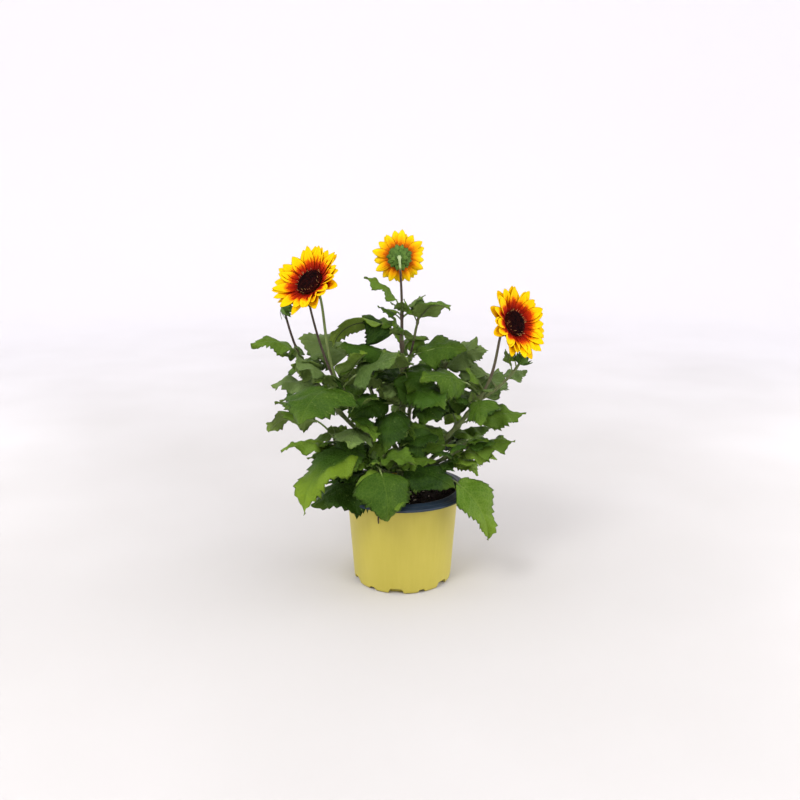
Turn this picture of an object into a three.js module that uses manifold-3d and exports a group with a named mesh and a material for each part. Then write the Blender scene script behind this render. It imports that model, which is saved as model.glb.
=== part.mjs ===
// A bushy sunflower plant in a yellow plastic nursery pot: one short main stem with side shoots
// all round it, coarse pointed leaves, three open blooms on long stalks, and buds.
// Millimetres, +Z up. The origin is the centre of the pot's flat underside, and -Y is the front.
import * as THREE from "three";
import { mergeVertices } from "three/addons/utils/BufferGeometryUtils.js";
import Module from "manifold-3d";

const wasm = await Module();
wasm.setup();

// The pot, a 19 cm nursery size with a wide turned-out rim.
const RIM_RADIUS = 95;
const POT_HEIGHT = 138;
const NECK_RADIUS = 80; // outside of the wall, just under the rim
const FOOT_RADIUS = 70.5;
const FOOT_ROUNDING = 4;
const WALL = 1.8;
const RIM_FALL = 4; // how far the rim slopes down to its edge
const RIM_LIP = 3; // the height of the rim's turned-down edge
const POT_SEGMENTS = 36;
const NOTCH_PAIRS = 6; // a wide and a narrow drain notch in each sixth of the foot
const NOTCH_WIDE = 22;
const NOTCH_NARROW = 11;
const NOTCH_HEIGHT = 5;
const NOTCH_REACH = 9; // how far a notch reaches in from the foot's edge
const FIRST_NOTCH = -97.5; // degrees

// The compost, filled to just under the rim and a little higher round the stem.
const SOIL_EDGE = 126;
const SOIL_TOP = 129;
const SOIL_FLAT = 14; // radius of the level patch that the stem stands on

const FIT_GAP = 0.3; // between two pieces that meet
const LEAF_GAP = 2; // between a leaf blade and anything that it passes

// The main stem leans a little and tapers; side shoots leave it all the way up.
const STEM_TIP = [0, 8, 236];
const STEM_FOOT_RADIUS = 7;
const STEM_TIP_RADIUS = 4.2;
const STEM_FLARE = 1.5; // the foot's radius grows by this factor at the compost

const KNEE_REACH = 0.62; // a shoot goes out this share of its way while it climbs the next share
const KNEE_RISE = 0.34;

const PETIOLE_SHARE = 0.4; // a leaf stalk's length, as a share of its blade's
const STALK_BASE = 1.9; // a leaf stalk's thickness where the blade is tiny
const STALK_GROWTH = 0.016; // and how much it gains with the blade's length
const BLADE_WIDTH = 0.7; // a blade's width, as a share of its length
const BLADE_THICKNESS = 0.014;
const BLADE_SHAPE = [0.5, 0.95]; // how fast the outline swells from the base and falls to the tip
const BLADE_STATIONS = [0.15, 0.4, 0.7, 1];
const BLADE_FOLD = -9; // degrees that each half rises from the midrib
const RIB_HANDLE = 0.34; // of a rib's length, so that it bends evenly
const GOLDEN_SHARE = 0.618;
const LOWEST_LEAF = 0.56; // share of a back shoot below which no leaf grows
const FAN_SPREAD = 150; // degrees that the leaves of a back shoot spread over

// A row for a leaf holds the place on its shoot from 0 at the foot to 1 at the tip, its heading
// (0 right, 90 back, 180 left, 270 front) and pitch in degrees where it leaves the shoot, the
// blade's length, the degrees that it bends down on its way to the tip, and its roll, which
// lifts the left edge. A shoot's bough is bare as far as its share "bare", where the leafy part
// begins. Shoots on the sides that are seen least have their leaves set by the seeded rule.
const SHOOTS = [
  {
    name: "crown",
    colour: 0x3f6a2a,
    foot: [0, 8, 236],
    tip: [-1, 15, 388],
    radii: [3.9, 2.8],
    leaves: [
      [0.93, 184, 80, 58, 65, -12],
      [0.7, 173, 84, 89, 140, -10],
      [0.6, 51, 67, 48, 80, 25],
      [0.45, 182, 66, 68, 80, -18],
      [0.56, 349, 50, 72, 70, 35],
      [0.27, 116, 52, 59, 45, -2],
      [0.11, 210, 60, 37, 20, 22],
      [0.1, 210, 30, 56, 46, -25],
      [0.08, 240, 6, 62, 70, -10],
      [0.05, 292, 20, 56, 80, 0],
      [0.3, 304, 30, 75, 64, 15],
      [0.16, 68, 34, 77, 70, -15],
    ],
    twigs: [
      {
        from: 0.46,
        tip: [24, 4, 394],
        radii: [2.2, 1.6],
        bud: 6,
        leaves: [
          [0.62, -4, 80, 57, 80, 18],
          [0.82, 172, 66, 27, 14, 10],
          [0.88, 4, 56, 22, 20, 0],
          [0.8, 80, 66, 26, 30, 0],
        ],
      },
    ],
  },
  {
    name: "left",
    colour: 0x4a7a30,
    foot: 26,
    tip: [-90, -14, 292],
    bare: 0.42,
    radii: [4, 2.8],
    leaves: [
      [0.82, 235, 46, 97, 95, -35],
      [0.94, 162, 47, 66, 29, 18],
      [0.92, 324, 45, 84, 30, 20],
      [0.74, 300, 56, 56, 60, 10],
      [0.62, 290, 34, 59, 70, -12],
      [0.58, 250, 26, 55, 50, -35],
      [0.93, 279, 62, 59, 30, 10],
    ],
    twigs: [{ from: 0.9, tip: [-130, 26, 394], radii: [2.2, 1.6], bud: 8, leaves: [] }],
  },
  {
    name: "left_back",
    colour: 0x5a8a3a,
    foot: 40,
    tip: [-142, 26, 314],
    bare: 0.46,
    radii: [3.6, 2.4],
    leaves: [
      [0.96, 178, 58, 62, 60, -5],
      [0.9, 232, 36, 33, 20, 10],
      [0.8, 195, 22, 56, 30, -10],
      [0.66, 205, 32, 57, 50, 0],
      [0.56, 165, 20, 74, 30, 20],
      [0.88, 104, 22, 73, 40, -5],
    ],
    twigs: [{ from: 0.95, tip: [-162, 20, 388], radii: [2, 1.5], bud: 10, nod: 130, leaves: [] }],
  },
  {
    name: "left_low",
    colour: 0x3c6c2c,
    foot: 14,
    tip: [-96, -6, 208],
    bare: 0.5,
    radii: [3.6, 2.4],
    leaves: [
      [0.98, 183, 58, 84, 94, 5],
      [0.74, 188, 28, 69, 40, 0],
      [0.84, 112, 24, 80, 66, 0],
      [0.84, 284, 30, 63, 70, 10],
      [0.6, 35, 4, 50, 40, 0],
    ],
  },
  {
    name: "front_left",
    colour: 0x4d8030,
    foot: 5,
    tip: [-54, -34, 186],
    bare: 0.5,
    radii: [3.4, 2.4],
    leaves: [
      [0.72, 211, 50, 112, 140, -3],
      [0.54, 199, 6, 81, 50, 5],
    ],
  },
  {
    name: "front",
    colour: 0x4a8a38,
    foot: 19,
    tip: [-38, -56, 186],
    bare: 0.45,
    radii: [3.2, 2.2],
    bud: 8,
    leaves: [
      [0.8, 286, 14, 75, 109, -18],
      [0.52, 336, 24, 76, 60, 25],
      [0.93, 325, 47, 46, 70, 35],
      [0.88, 242, 20, 47, 70, 35],
      [0.98, 77, 62, 29, 30, 20],
    ],
  },
  {
    name: "front_right",
    colour: 0x39662a,
    foot: 13,
    tip: [42, -40, 170],
    bare: 0.46,
    radii: [3.4, 2.4],
    leaves: [
      [0.94, 340, 0, 98, 95, 5],
      [0.7, 22, 20, 57, 60, -15],
    ],
  },
  {
    name: "right_low",
    colour: 0x3f7030,
    foot: 24,
    tip: [90, -10, 202],
    bare: 0.5,
    radii: [3.6, 2.4],
    leaves: [
      [0.8, -3, 24, 65, 26, 15],
      [0.97, 210, 44, 78, 42, -35],
      [0.6, 345, 5, 40, 16, -10],
      [0.7, 359, 20, 50, 50, 10],
      [0.9, 60, 24, 70, 60, 0],
    ],
  },
  {
    name: "right",
    colour: 0x4c7c34,
    foot: 33,
    tip: [114, 0, 276],
    bare: 0.44,
    radii: [4, 2.8],
    leaves: [
      [0.66, 355, 28, 70, 40, 25],
      [0.95, 211, 50, 81, 60, -35],
      [0.93, 117, 78, 46, 60, -12],
      [0.5, 210, 22, 57, 50, 20],
      [0.86, 270, 40, 66, 90, 30],
      [0.76, 60, 36, 84, 26, -10],
      [0.62, 101, 36, 67, 56, -20],
    ],
    twigs: [
      {
        from: 0.9,
        tip: [163, -4, 318],
        radii: [2.2, 1.6],
        bud: 9,
        leaves: [
          [0.46, 30, 48, 38, 60, 15],
          [0.45, 142, 50, 58, 40, 0],
          [0.75, 215, 76, 30, 20, 0],
          [0.86, 160, 80, 24, 20, 0],
        ],
      },
    ],
  },
  {
    name: "right_back",
    colour: 0x35602a,
    foot: 52,
    tip: [62, 44, 306],
    bare: 0.42,
    radii: [3.8, 2.4],
    leaves: [
      [0.84, 345, 73, 64, 44, 20],
      [0.7, 260, 24, 66, 75, 5],
      [0.95, 235, 21, 60, 60, 0],
      [0.97, 19, 37, 47, 40, 15],
      [0.6, 52, 26, 86, 66, 0],
      [0.88, 95, 36, 76, 66, 0],
    ],
  },
  {
    name: "back_left",
    colour: 0x47752f,
    foot: 46,
    tip: [-56, 58, 300],
    bare: 0.42,
    radii: [3.8, 2.4],
    leaves: [
      [0.84, 37, 44, 63, 50, 10],
      [0.9, 97, 44, 47, 30, 10],
      [0.98, 172, 40, 78, 36, -35],
      [0.56, 153, 48, 86, 86, -35],
      [0.7, 238, 64, 72, 60, 0],
      [0.88, 278, 50, 60, 70, 0],
    ],
  },
  {
    name: "back",
    colour: 0x3d6b2b,
    foot: 28,
    tip: [12, 96, 236],
    bare: 0.44,
    radii: [3.8, 2.4],
    fan: { count: 4, length: 84, seed: 35 },
  },
  {
    name: "back_right",
    colour: 0x45783a,
    foot: 15,
    tip: [80, 58, 200],
    bare: 0.5,
    radii: [3.6, 2.4],
    fan: { count: 4, length: 62, seed: 237 },
  },
  {
    name: "back_low",
    colour: 0x4f8234,
    foot: 7,
    tip: [-62, 56, 178],
    bare: 0.5,
    radii: [3.4, 2.4],
    fan: { count: 6, length: 78, seed: 66 },
  },
];

// The open blooms: where the face's middle is, which way it looks, and how it is spread.
// cup is the angle that the rays rise from the plane of the face.
const BLOOMS = [
  {
    name: "left",
    shoot: "left",
    face: [-122, -8, 430],
    heading: 235,
    pitch: 38,
    disc: 19,
    ray: 36,
    cup: 20,
  },
  {
    name: "centre",
    shoot: "crown",
    face: [-7, 32, 459],
    heading: 90,
    pitch: -4,
    disc: 14,
    ray: 26,
    cup: 26,
  },
  {
    name: "right",
    shoot: "right",
    face: [154, -8, 371],
    heading: 312,
    pitch: 22,
    disc: 18,
    ray: 34,
    cup: 14,
  },
];
const STALK_RADII = [2.6, 1.9];
const STALK_RISE = 0.45; // of its reach, along the shoot that it grows from
const NECK_BEND = 0.22; // of its reach, along the head's axis
const HEAD_DEPTH = 12; // from the face's plane back to the stalk
const PLATE = [-0.8, 1.8]; // back and front of the ring that the rays grow from
const CUP_TOP = -1.4; // the green cup ends a little behind that ring
const RAYS = 17;
const RAY_WIDTH = 0.4; // of its length
const RAY_THICKNESS = 0.9;
const RAY_SHAPE = [0.5, 0.55];
const RAY_STATIONS = [0, 0.35, 0.75, 1];
const BRACTS = 12;
const BUD_BRACTS = 6;

// The same numbers for the same seed, each from 0 up to 1.
function seeded(seed) {
  let state = seed;
  return () => {
    state = (state * 48271) % 2147483647;
    return state / 2147483647;
  };
}

const rad = THREE.MathUtils.degToRad;
const vec = (p) => new THREE.Vector3(...p);
const UP = new THREE.Vector3(0, 0, 1);

function direction(heading, pitch) {
  const [h, p] = [rad(heading), rad(pitch)];
  return new THREE.Vector3(Math.cos(h) * Math.cos(p), Math.sin(h) * Math.cos(p), Math.sin(p));
}

// A closed three.js geometry as a solid.
function solid(geometry) {
  const bare = new THREE.BufferGeometry()
    .setAttribute("position", geometry.getAttribute("position").clone())
    .setIndex(geometry.index);
  const merged = mergeVertices(bare, 1e-4);
  return new wasm.Manifold(
    new wasm.Mesh({
      numProp: 3,
      vertProperties: new Float32Array(merged.attributes.position.array),
      triVerts: new Uint32Array(merged.index.array),
    }),
  );
}

// The largest body of a solid, without the scraps that a cut may leave.
function wholePiece(made) {
  return made.decompose().sort((a, b) => b.volume() - a.volume())[0];
}

function meshOf(made, name, colour, roughness = 0.7) {
  const { numProp, vertProperties, triVerts } = made.getMesh();
  const position = new Float32Array((vertProperties.length / numProp) * 3);
  for (let i = 0; i < position.length / 3; i++)
    position.set(vertProperties.subarray(i * numProp, i * numProp + 3), i * 3);
  const geometry = new THREE.BufferGeometry()
    .setAttribute("position", new THREE.BufferAttribute(position, 3))
    .setIndex(new THREE.BufferAttribute(triVerts, 1));
  geometry.computeVertexNormals();
  const material = new THREE.MeshStandardMaterial({ color: colour, roughness, metalness: 0 });
  const mesh = new THREE.Mesh(geometry, material);
  mesh.name = name;
  return mesh;
}

const union = (solids) => wasm.Manifold.union(solids);

// Moves every vertex of a geometry by a rule from its place to its new place.
function warp(geometry, rule) {
  const position = geometry.getAttribute("position");
  const place = new THREE.Vector3();
  for (let i = 0; i < position.count; i++) {
    place.fromBufferAttribute(position, i);
    position.setXYZ(i, ...rule(place).toArray());
  }
  return geometry;
}

// Two directions square to a curve's tangent, the first of them level.
function crossFrame(tangent) {
  const side = new THREE.Vector3().crossVectors(UP, tangent);
  if (side.lengthSq() < 1e-6) side.set(1, 0, 0);
  side.normalize();
  return [side, new THREE.Vector3().crossVectors(tangent, side).normalize()];
}

// A round tapering limb along part of a curve, from one share of it to another.
function limb(curve, [from, to], radiusAt, sides, steps) {
  const tube = new THREE.CylinderGeometry(1, 1, 1, sides, steps);
  const reference = crossFrame(curve.getTangent(from))[0];
  return solid(
    warp(tube, ({ x, y, z }) => {
      const share = from + (to - from) * (y + 0.5);
      const tangent = curve.getTangent(share);
      const side = reference.clone().addScaledVector(tangent, -reference.dot(tangent)).normalize();
      const over = new THREE.Vector3().crossVectors(tangent, side);
      const radius = radiusAt(share);
      return curve
        .getPoint(share)
        .addScaledVector(side, x * radius)
        .addScaledVector(over, -z * radius);
    }),
  );
}

const taper = ([first, last]) => (share) => first + (last - first) * share;

// A shoot leaves the main stem outwards and turns up towards its tip.
function shootCurve(foot, tip) {
  const knee = foot.clone().lerp(tip, KNEE_REACH);
  knee.z = foot.z + (tip.z - foot.z) * KNEE_RISE;
  return new THREE.QuadraticBezierCurve3(foot, knee, tip);
}

// The line of a leaf's stalk and midrib, bending down evenly along its length.
function ribCurve(root, heading, pitch, length, droop) {
  const half = rad(droop) / 2;
  const chord = half > 1e-3 ? (length * Math.sin(half)) / half : length;
  const tip = root.clone().addScaledVector(direction(heading, pitch - droop / 2), chord);
  const handle = length * RIB_HANDLE;
  return new THREE.CubicBezierCurve3(
    root,
    root.clone().addScaledVector(direction(heading, pitch), handle),
    tip.clone().addScaledVector(direction(heading, pitch - droop), -handle),
    tip,
  );
}

// An egg-shaped outline: its half width at a share of the length, where 1 is the widest.
function outline(share, rise, fall) {
  const widest = rise / (rise + fall);
  const peak = widest ** rise * (1 - widest) ** fall;
  return (share ** rise * (1 - share) ** fall) / peak;
}

// A flat tapering body along a curve, a box bent to it. Each station is the share of the curve,
// the width and the thickness there, and how far the sides stand above the middle.
function strip(curve, stations, halves, roll) {
  const level = crossFrame(curve.getTangent(stations[0].share))[0];
  const box = new THREE.BoxGeometry(1, 1, 1, halves, 1, stations.length - 1);
  return solid(
    warp(box, ({ x, y, z }) => {
      const { share, width, thickness, rise = 0 } = stations[Math.round((z + 0.5) * (stations.length - 1))];
      const tangent = curve.getTangent(share);
      const side = level.clone().addScaledVector(tangent, -level.dot(tangent)).normalize();
      const over = new THREE.Vector3().crossVectors(tangent, side);
      side.applyAxisAngle(tangent, rad(roll));
      over.applyAxisAngle(tangent, rad(roll));
      return curve
        .getPoint(share)
        .addScaledVector(side, x * width)
        .addScaledVector(over, y * thickness + 2 * Math.abs(x) * rise);
    }),
  );
}

// Everything that is in place so far, so that what comes later can pass it clear.
const placed = [];

function isClear(piece, gap, own) {
  const box = piece.boundingBox();
  return placed.every(({ made, node }) => {
    if (node === own) return true;
    const other = made.boundingBox();
    for (let i = 0; i < 3; i++)
      if (box.min[i] > other.max[i] + gap || box.max[i] < other.min[i] - gap) return true;
    return piece.minGap(made, gap) >= gap;
  });
}

function place(made, node) {
  placed.push({ made, node });
  return made;
}

// The widths of a leaf along its rib: a narrow stalk as far as the blade, then the blade.
function leafStations(length) {
  const stalk = STALK_BASE + length * STALK_GROWTH;
  const base = PETIOLE_SHARE / (1 + PETIOLE_SHARE);
  return [
    { share: 0, width: stalk, thickness: stalk },
    { share: base, width: stalk * 0.8, thickness: stalk * 0.7 },
    ...BLADE_STATIONS.map((along) => {
      const width = BLADE_THICKNESS * length + BLADE_WIDTH * length * outline(along, ...BLADE_SHAPE);
      const rise = (width / 2) * Math.tan(rad(BLADE_FOLD));
      return { share: base + (1 - base) * along, width, thickness: BLADE_THICKNESS * length, rise };
    }),
  ];
}

// One leaf with its stalk, or nothing where it would touch a neighbour.
function leaf(curve, node, [share, heading, pitch, length, droop, roll]) {
  const rib = ribCurve(curve.getPoint(share), heading, pitch, length * (1 + PETIOLE_SHARE), droop);
  const stations = leafStations(length);
  const blade = strip(rib, stations.slice(1), 2, roll);
  const whole = strip(rib, stations, 2, roll);
  if (!isClear(blade, LEAF_GAP) || !isClear(whole, FIT_GAP * 2, node)) return [];
  place(blade, "blade of " + node);
  place(whole, node);
  return [whole];
}

// Rows of leaves fanned out on a shoot's outer side, lower and larger towards its foot.
function fanned({ count, length, seed }, outward) {
  const random = seeded(seed);
  const start = random();
  const rows = [];
  for (let i = 0; i < count; i++) {
    const height = (i + 1) / count;
    const share = LOWEST_LEAF + (0.98 - LOWEST_LEAF) * height;
    const turn = FAN_SPREAD * (((start + GOLDEN_SHARE * i) % 1) - 0.5);
    const heading = outward + turn + 20 * (random() - 0.5);
    const pitch = 5 + 45 * height + 12 * (random() - 0.5);
    const size = length * (1.05 - 0.35 * height) * (0.92 + 0.16 * random());
    rows.push([share, heading, pitch, size, 60 + 20 * random(), 20 * (random() - 0.5)]);
  }
  return rows;
}

// The heading of a shoot, from its foot out to its tip.
function outward(curve) {
  const span = curve.getPoint(1).sub(curve.getPoint(0));
  return THREE.MathUtils.radToDeg(Math.atan2(span.y, span.x));
}

// A closed bud: a green egg with pointed bracts standing round it.
function bud(centre, axis, radius) {
  const turn = new THREE.Quaternion().setFromUnitVectors(UP, axis);
  const egg = new THREE.SphereGeometry(radius, 7, 5).scale(1, 1, 0.85);
  const parts = [solid(egg.applyQuaternion(turn).translate(...centre.toArray()))];
  for (let i = 0; i < BUD_BRACTS; i++) {
    const around = (2 * Math.PI * i) / BUD_BRACTS;
    const bract = new THREE.ConeGeometry(radius * 0.4, radius * 2, 3);
    bract.translate(0, radius * 0.8, 0).rotateX(rad(i % 2 ? 62 : 40)).translate(0, -radius * 0.55, 0);
    bract.rotateZ(around).applyQuaternion(turn).translate(...centre.toArray());
    parts.push(solid(bract));
  }
  return union(parts);
}

const plant = new THREE.Group();

// The pot, turned from its wall's section, with drain notches cut through the foot.
function makePot() {
  const edge = POT_HEIGHT - RIM_FALL;
  const section = [
    [0, 0],
    [FOOT_RADIUS - FOOT_ROUNDING, 0],
    [FOOT_RADIUS - 1, 1.2],
    [FOOT_RADIUS, FOOT_ROUNDING],
    [NECK_RADIUS, POT_HEIGHT - WALL - 1.2],
    [RIM_RADIUS - WALL, edge - WALL],
    [RIM_RADIUS - WALL + 0.4, edge - RIM_LIP],
    [RIM_RADIUS, edge - RIM_LIP],
    [RIM_RADIUS, edge],
    [NECK_RADIUS + 1, POT_HEIGHT],
    [NECK_RADIUS - WALL, POT_HEIGHT - 2],
    [FOOT_RADIUS - WALL, FOOT_ROUNDING],
    [FOOT_RADIUS - WALL - 2, WALL],
    [0, WALL],
  ].map(([r, z]) => new THREE.Vector2(r, z));
  const body = solid(new THREE.LatheGeometry(section, POT_SEGMENTS).rotateX(Math.PI / 2));
  const notches = [];
  for (let i = 0; i < 2 * NOTCH_PAIRS; i++) {
    const width = i % 2 ? NOTCH_NARROW : NOTCH_WIDE;
    const height = i % 2 ? NOTCH_HEIGHT * 0.6 : NOTCH_HEIGHT;
    const arch = new THREE.Shape();
    arch.moveTo(-width / 2, -1);
    arch.lineTo(-width / 3, height);
    arch.lineTo(width / 3, height);
    arch.lineTo(width / 2, -1);
    const cut = new THREE.ExtrudeGeometry(arch, { depth: NOTCH_REACH * 2, bevelEnabled: false });
    cut.rotateX(Math.PI / 2).rotateZ(Math.PI / 2).translate(FOOT_RADIUS - NOTCH_REACH, 0, 0);
    cut.rotateZ(rad(FIRST_NOTCH + (180 / NOTCH_PAIRS) * i));
    notches.push(solid(cut));
  }
  return wholePiece(body.subtract(union(notches)));
}

// The compost fills the pot with a small gap all round.
function makeSoil() {
  const slope = (NECK_RADIUS - FOOT_RADIUS) / (POT_HEIGHT - 2 - FOOT_ROUNDING);
  const side = (z) => FOOT_RADIUS + slope * (z - FOOT_ROUNDING) - WALL - FIT_GAP - 0.1;
  const floor = WALL + FIT_GAP;
  const section = [
    [0, floor],
    [side(FOOT_ROUNDING) - 9, floor],
    [side(FOOT_ROUNDING) - 6.5, NOTCH_HEIGHT + 1.5],
    [side(NOTCH_HEIGHT + 3), NOTCH_HEIGHT + 3],
    [side(SOIL_EDGE), SOIL_EDGE],
    [SOIL_FLAT, SOIL_TOP],
    [0, SOIL_TOP],
  ].map(([r, z]) => new THREE.Vector2(r, z));
  return solid(new THREE.LatheGeometry(section, POT_SEGMENTS).rotateX(Math.PI / 2));
}

const stemFoot = new THREE.Vector3(0, 0, SOIL_TOP + FIT_GAP);
const stemCurve = new THREE.LineCurve3(stemFoot, vec(STEM_TIP));
const stemRadius = (share) =>
  (STEM_FOOT_RADIUS + (STEM_TIP_RADIUS - STEM_FOOT_RADIUS) * share) *
  (1 + (STEM_FLARE - 1) * Math.max(0, 1 - share * 9) ** 2);

plant.add(meshOf(place(makePot(), "pot"), "pot", 0xd8c348, 0.5));
plant.add(meshOf(place(makeSoil(), "soil"), "soil", 0x2a1c14, 0.95));
// The stem leans, so its foot is cut level with the compost.
const underStem = solid(new THREE.BoxGeometry(60, 60, 20).translate(0, 0, stemFoot.z - 10));
const stem = limb(stemCurve, [-0.02, 1], stemRadius, 8, 7).subtract(underStem);
plant.add(meshOf(place(stem, "main_stem"), "main_stem", 0x6f8148));
const stemRoom = limb(stemCurve, [-0.02, 1], (share) => stemRadius(share) + FIT_GAP, 8, 7);

// The line of each shoot, from the main stem's middle out to its tip.
const curves = new Map();
for (const shoot of SHOOTS) {
  const onStem = Array.isArray(shoot.foot)
    ? vec(shoot.foot)
    : stemCurve.getPoint((shoot.foot + SOIL_TOP - stemFoot.z) / (STEM_TIP[2] - stemFoot.z));
  curves.set(shoot.name, shootCurve(onStem, vec(shoot.tip)));
}

// Limbs come first: the bare boughs, and the stems and twigs inside the masses of leaves.
const masses = new Map();
for (const { name, bare = 0, radii, twigs = [], bud: budRadius } of SHOOTS) {
  const curve = curves.get(name);
  const gap = FIT_GAP / curve.getLength();
  const radius = taper(radii);
  if (bare) {
    const bough = wholePiece(limb(curve, [0, bare], radius, 6, 4).subtract(stemRoom));
    plant.add(meshOf(place(bough, "bough_" + name), "bough_" + name, 0x76884c));
  }
  const node = "leaves_" + name;
  const start = bare ? bare + gap : gap;
  const parts = [limb(curve, [start, 1], radius, 5, 4)];
  if (budRadius) parts.push(bud(curve.getPoint(1), curve.getTangent(1), budRadius));
  const lines = twigs.map(({ from, tip }) => shootCurve(curve.getPoint(from), vec(tip)));
  twigs.forEach(({ radii: twigRadii, bud: twigBud, nod = 0 }, i) => {
    parts.push(limb(lines[i], [0, 1], taper(twigRadii), 4, 4));
    if (twigBud) {
      const axis = lines[i].getTangent(1).applyAxisAngle(crossFrame(lines[i].getTangent(1))[0], rad(-nod));
      parts.push(bud(lines[i].getPoint(1).addScaledVector(axis, twigBud * 0.4), axis, twigBud));
    }
  });
  parts.forEach((part) => place(part, node));
  masses.set(name, { node, parts, lines });
}

// Blooms: a stalk that curves into the head's back, green bracts, a ring of rays and a domed disc.
function makeBloom({ name, shoot, face, heading, pitch, disc, ray, cup }, seed) {
  const random = seeded(seed);
  const axis = direction(heading, pitch);
  const turn = new THREE.Quaternion().setFromUnitVectors(UP, axis);
  const toPlace = new THREE.Matrix4().compose(vec(face), turn, new THREE.Vector3(1, 1, 1));
  const set = (made) => made.transform(toPlace.elements);

  const neck = vec(face).addScaledVector(axis, -HEAD_DEPTH - FIT_GAP);
  const foot = curves.get(shoot).getPoint(1);
  const rise = curves.get(shoot).getTangent(1);
  const reach = foot.distanceTo(neck);
  const stalk = new THREE.CubicBezierCurve3(
    foot,
    foot.clone().addScaledVector(rise, reach * STALK_RISE),
    neck.clone().addScaledVector(axis, -reach * NECK_BEND),
    neck,
  );
  const start = FIT_GAP / stalk.getLength();
  const stalkRadius = (share) => taper(STALK_RADII)(share) * (1 + 0.6 * Math.max(0, share * 5 - 4));
  const stalkSolid = limb(stalk, [start, 1], stalkRadius, 6, 8);

  const cupSection = [
    [0, -HEAD_DEPTH],
    [5, -HEAD_DEPTH],
    [disc * 0.8, -HEAD_DEPTH * 0.62],
    [disc + 1, CUP_TOP - 1],
    [disc, CUP_TOP],
    [0, CUP_TOP],
  ].map(([r, z]) => new THREE.Vector2(r, z));
  const calyx = [solid(new THREE.LatheGeometry(cupSection, 12).rotateX(Math.PI / 2))];
  for (let i = 0; i < BRACTS; i++) {
    const bract = new THREE.ConeGeometry(disc * 0.2, disc * 0.95, 3).scale(1, 1, 0.4);
    bract.translate(0, disc * 0.4, 0).rotateX(rad(-8)).translate(0, disc * 0.82, -4.6);
    calyx.push(solid(bract.rotateZ((2 * Math.PI * (i + 0.5)) / BRACTS)));
  }

  const [plateBack, plateFront] = PLATE;
  const plate = new THREE.CylinderGeometry(disc + 1.5, disc + 1.5, plateFront - plateBack, 20);
  plate.rotateX(Math.PI / 2).translate(0, 0, (plateFront + plateBack) / 2);
  const rays = [solid(plate)];
  for (let i = 0; i < RAYS; i++) {
    const outer = i % 2;
    const length = ray * (0.92 + 0.16 * random());
    const around = (360 / RAYS) * (i + 0.4 * random());
    const root = direction(around, 0).multiplyScalar(disc - 1).setZ(outer ? 0 : 0.6);
    const rise = cup + (outer ? -7 : 5) + 4 * (random() - 0.5);
    const stations = RAY_STATIONS.map((along) => ({
      share: along,
      width: RAY_THICKNESS + RAY_WIDTH * length * outline(along, ...RAY_SHAPE),
      thickness: RAY_THICKNESS,
    }));
    const rib = ribCurve(root, around, rise, length, 14 + 6 * random());
    rays.push(strip(rib, stations, 1, 6 * (random() - 0.5)));
  }

  // The disc's section, with every side moved out by a margin.
  const dome = (margin) => {
    const section = [
      [0, plateFront + FIT_GAP - margin],
      [disc - 1 + margin, plateFront + FIT_GAP - margin],
      [disc + margin, 3.4],
      [disc * 0.86 + margin, 5.6 + margin],
      [disc * 0.5, 6.6 + margin],
      [0, 6.2 + margin],
    ].map(([r, z]) => new THREE.Vector2(r, z));
    return solid(new THREE.LatheGeometry(section, 18).rotateX(Math.PI / 2));
  };
  return [
    ["stalk_" + name, 0x6d7f4a, stalkSolid],
    ["calyx_" + name, 0x4f7a38, set(union(calyx))],
    ["rays_" + name, 0xf6b912, set(wholePiece(union(rays).subtract(dome(FIT_GAP))))],
    ["disc_" + name, 0x2a0f0a, set(dome(0))],
  ];
}

BLOOMS.forEach((bloom, i) => {
  for (const [name, colour, made] of makeBloom(bloom, 101 + i))
    plant.add(meshOf(place(made, name), name, colour));
});

// Leaves come last, each clear of everything before it.
for (const { name, colour, leaves = [], twigs = [], fan } of SHOOTS) {
  const { node, parts, lines } = masses.get(name);
  const curve = curves.get(name);
  const rows = fan ? fanned(fan, outward(curve)) : leaves;
  for (const row of rows) parts.push(...leaf(curve, node, row));
  twigs.forEach((twig, i) => twig.leaves.forEach((row) => parts.push(...leaf(lines[i], node, row))));
  plant.add(meshOf(wholePiece(union(parts)), node, colour));
}

export default plant;
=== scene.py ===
"""Potted sunflower plant: the detailed visual model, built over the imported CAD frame.

Lengths are in millimetres until a piece is made, +Z is up and -Y is the front. Angles are in degrees.
Headings are 0 right, 90 back, 180 left and 270 front.
"""
import math

import bpy
import numpy as np
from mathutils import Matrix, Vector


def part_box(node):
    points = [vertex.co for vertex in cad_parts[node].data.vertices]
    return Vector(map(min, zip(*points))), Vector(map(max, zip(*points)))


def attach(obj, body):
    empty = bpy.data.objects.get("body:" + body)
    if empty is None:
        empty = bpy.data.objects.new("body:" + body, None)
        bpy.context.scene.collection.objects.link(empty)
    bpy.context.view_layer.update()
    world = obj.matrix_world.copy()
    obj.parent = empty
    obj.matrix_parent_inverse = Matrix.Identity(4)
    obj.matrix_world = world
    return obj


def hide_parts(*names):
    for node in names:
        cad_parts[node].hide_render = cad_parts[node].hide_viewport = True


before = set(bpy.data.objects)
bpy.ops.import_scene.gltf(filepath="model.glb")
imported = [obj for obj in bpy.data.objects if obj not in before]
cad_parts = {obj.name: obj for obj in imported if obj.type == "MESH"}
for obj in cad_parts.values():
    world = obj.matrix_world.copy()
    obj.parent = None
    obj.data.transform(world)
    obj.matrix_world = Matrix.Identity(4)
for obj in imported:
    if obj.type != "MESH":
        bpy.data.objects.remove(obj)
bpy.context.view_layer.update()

MM = 0.001
UP = np.array([0.0, 0.0, 1.0])

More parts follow.
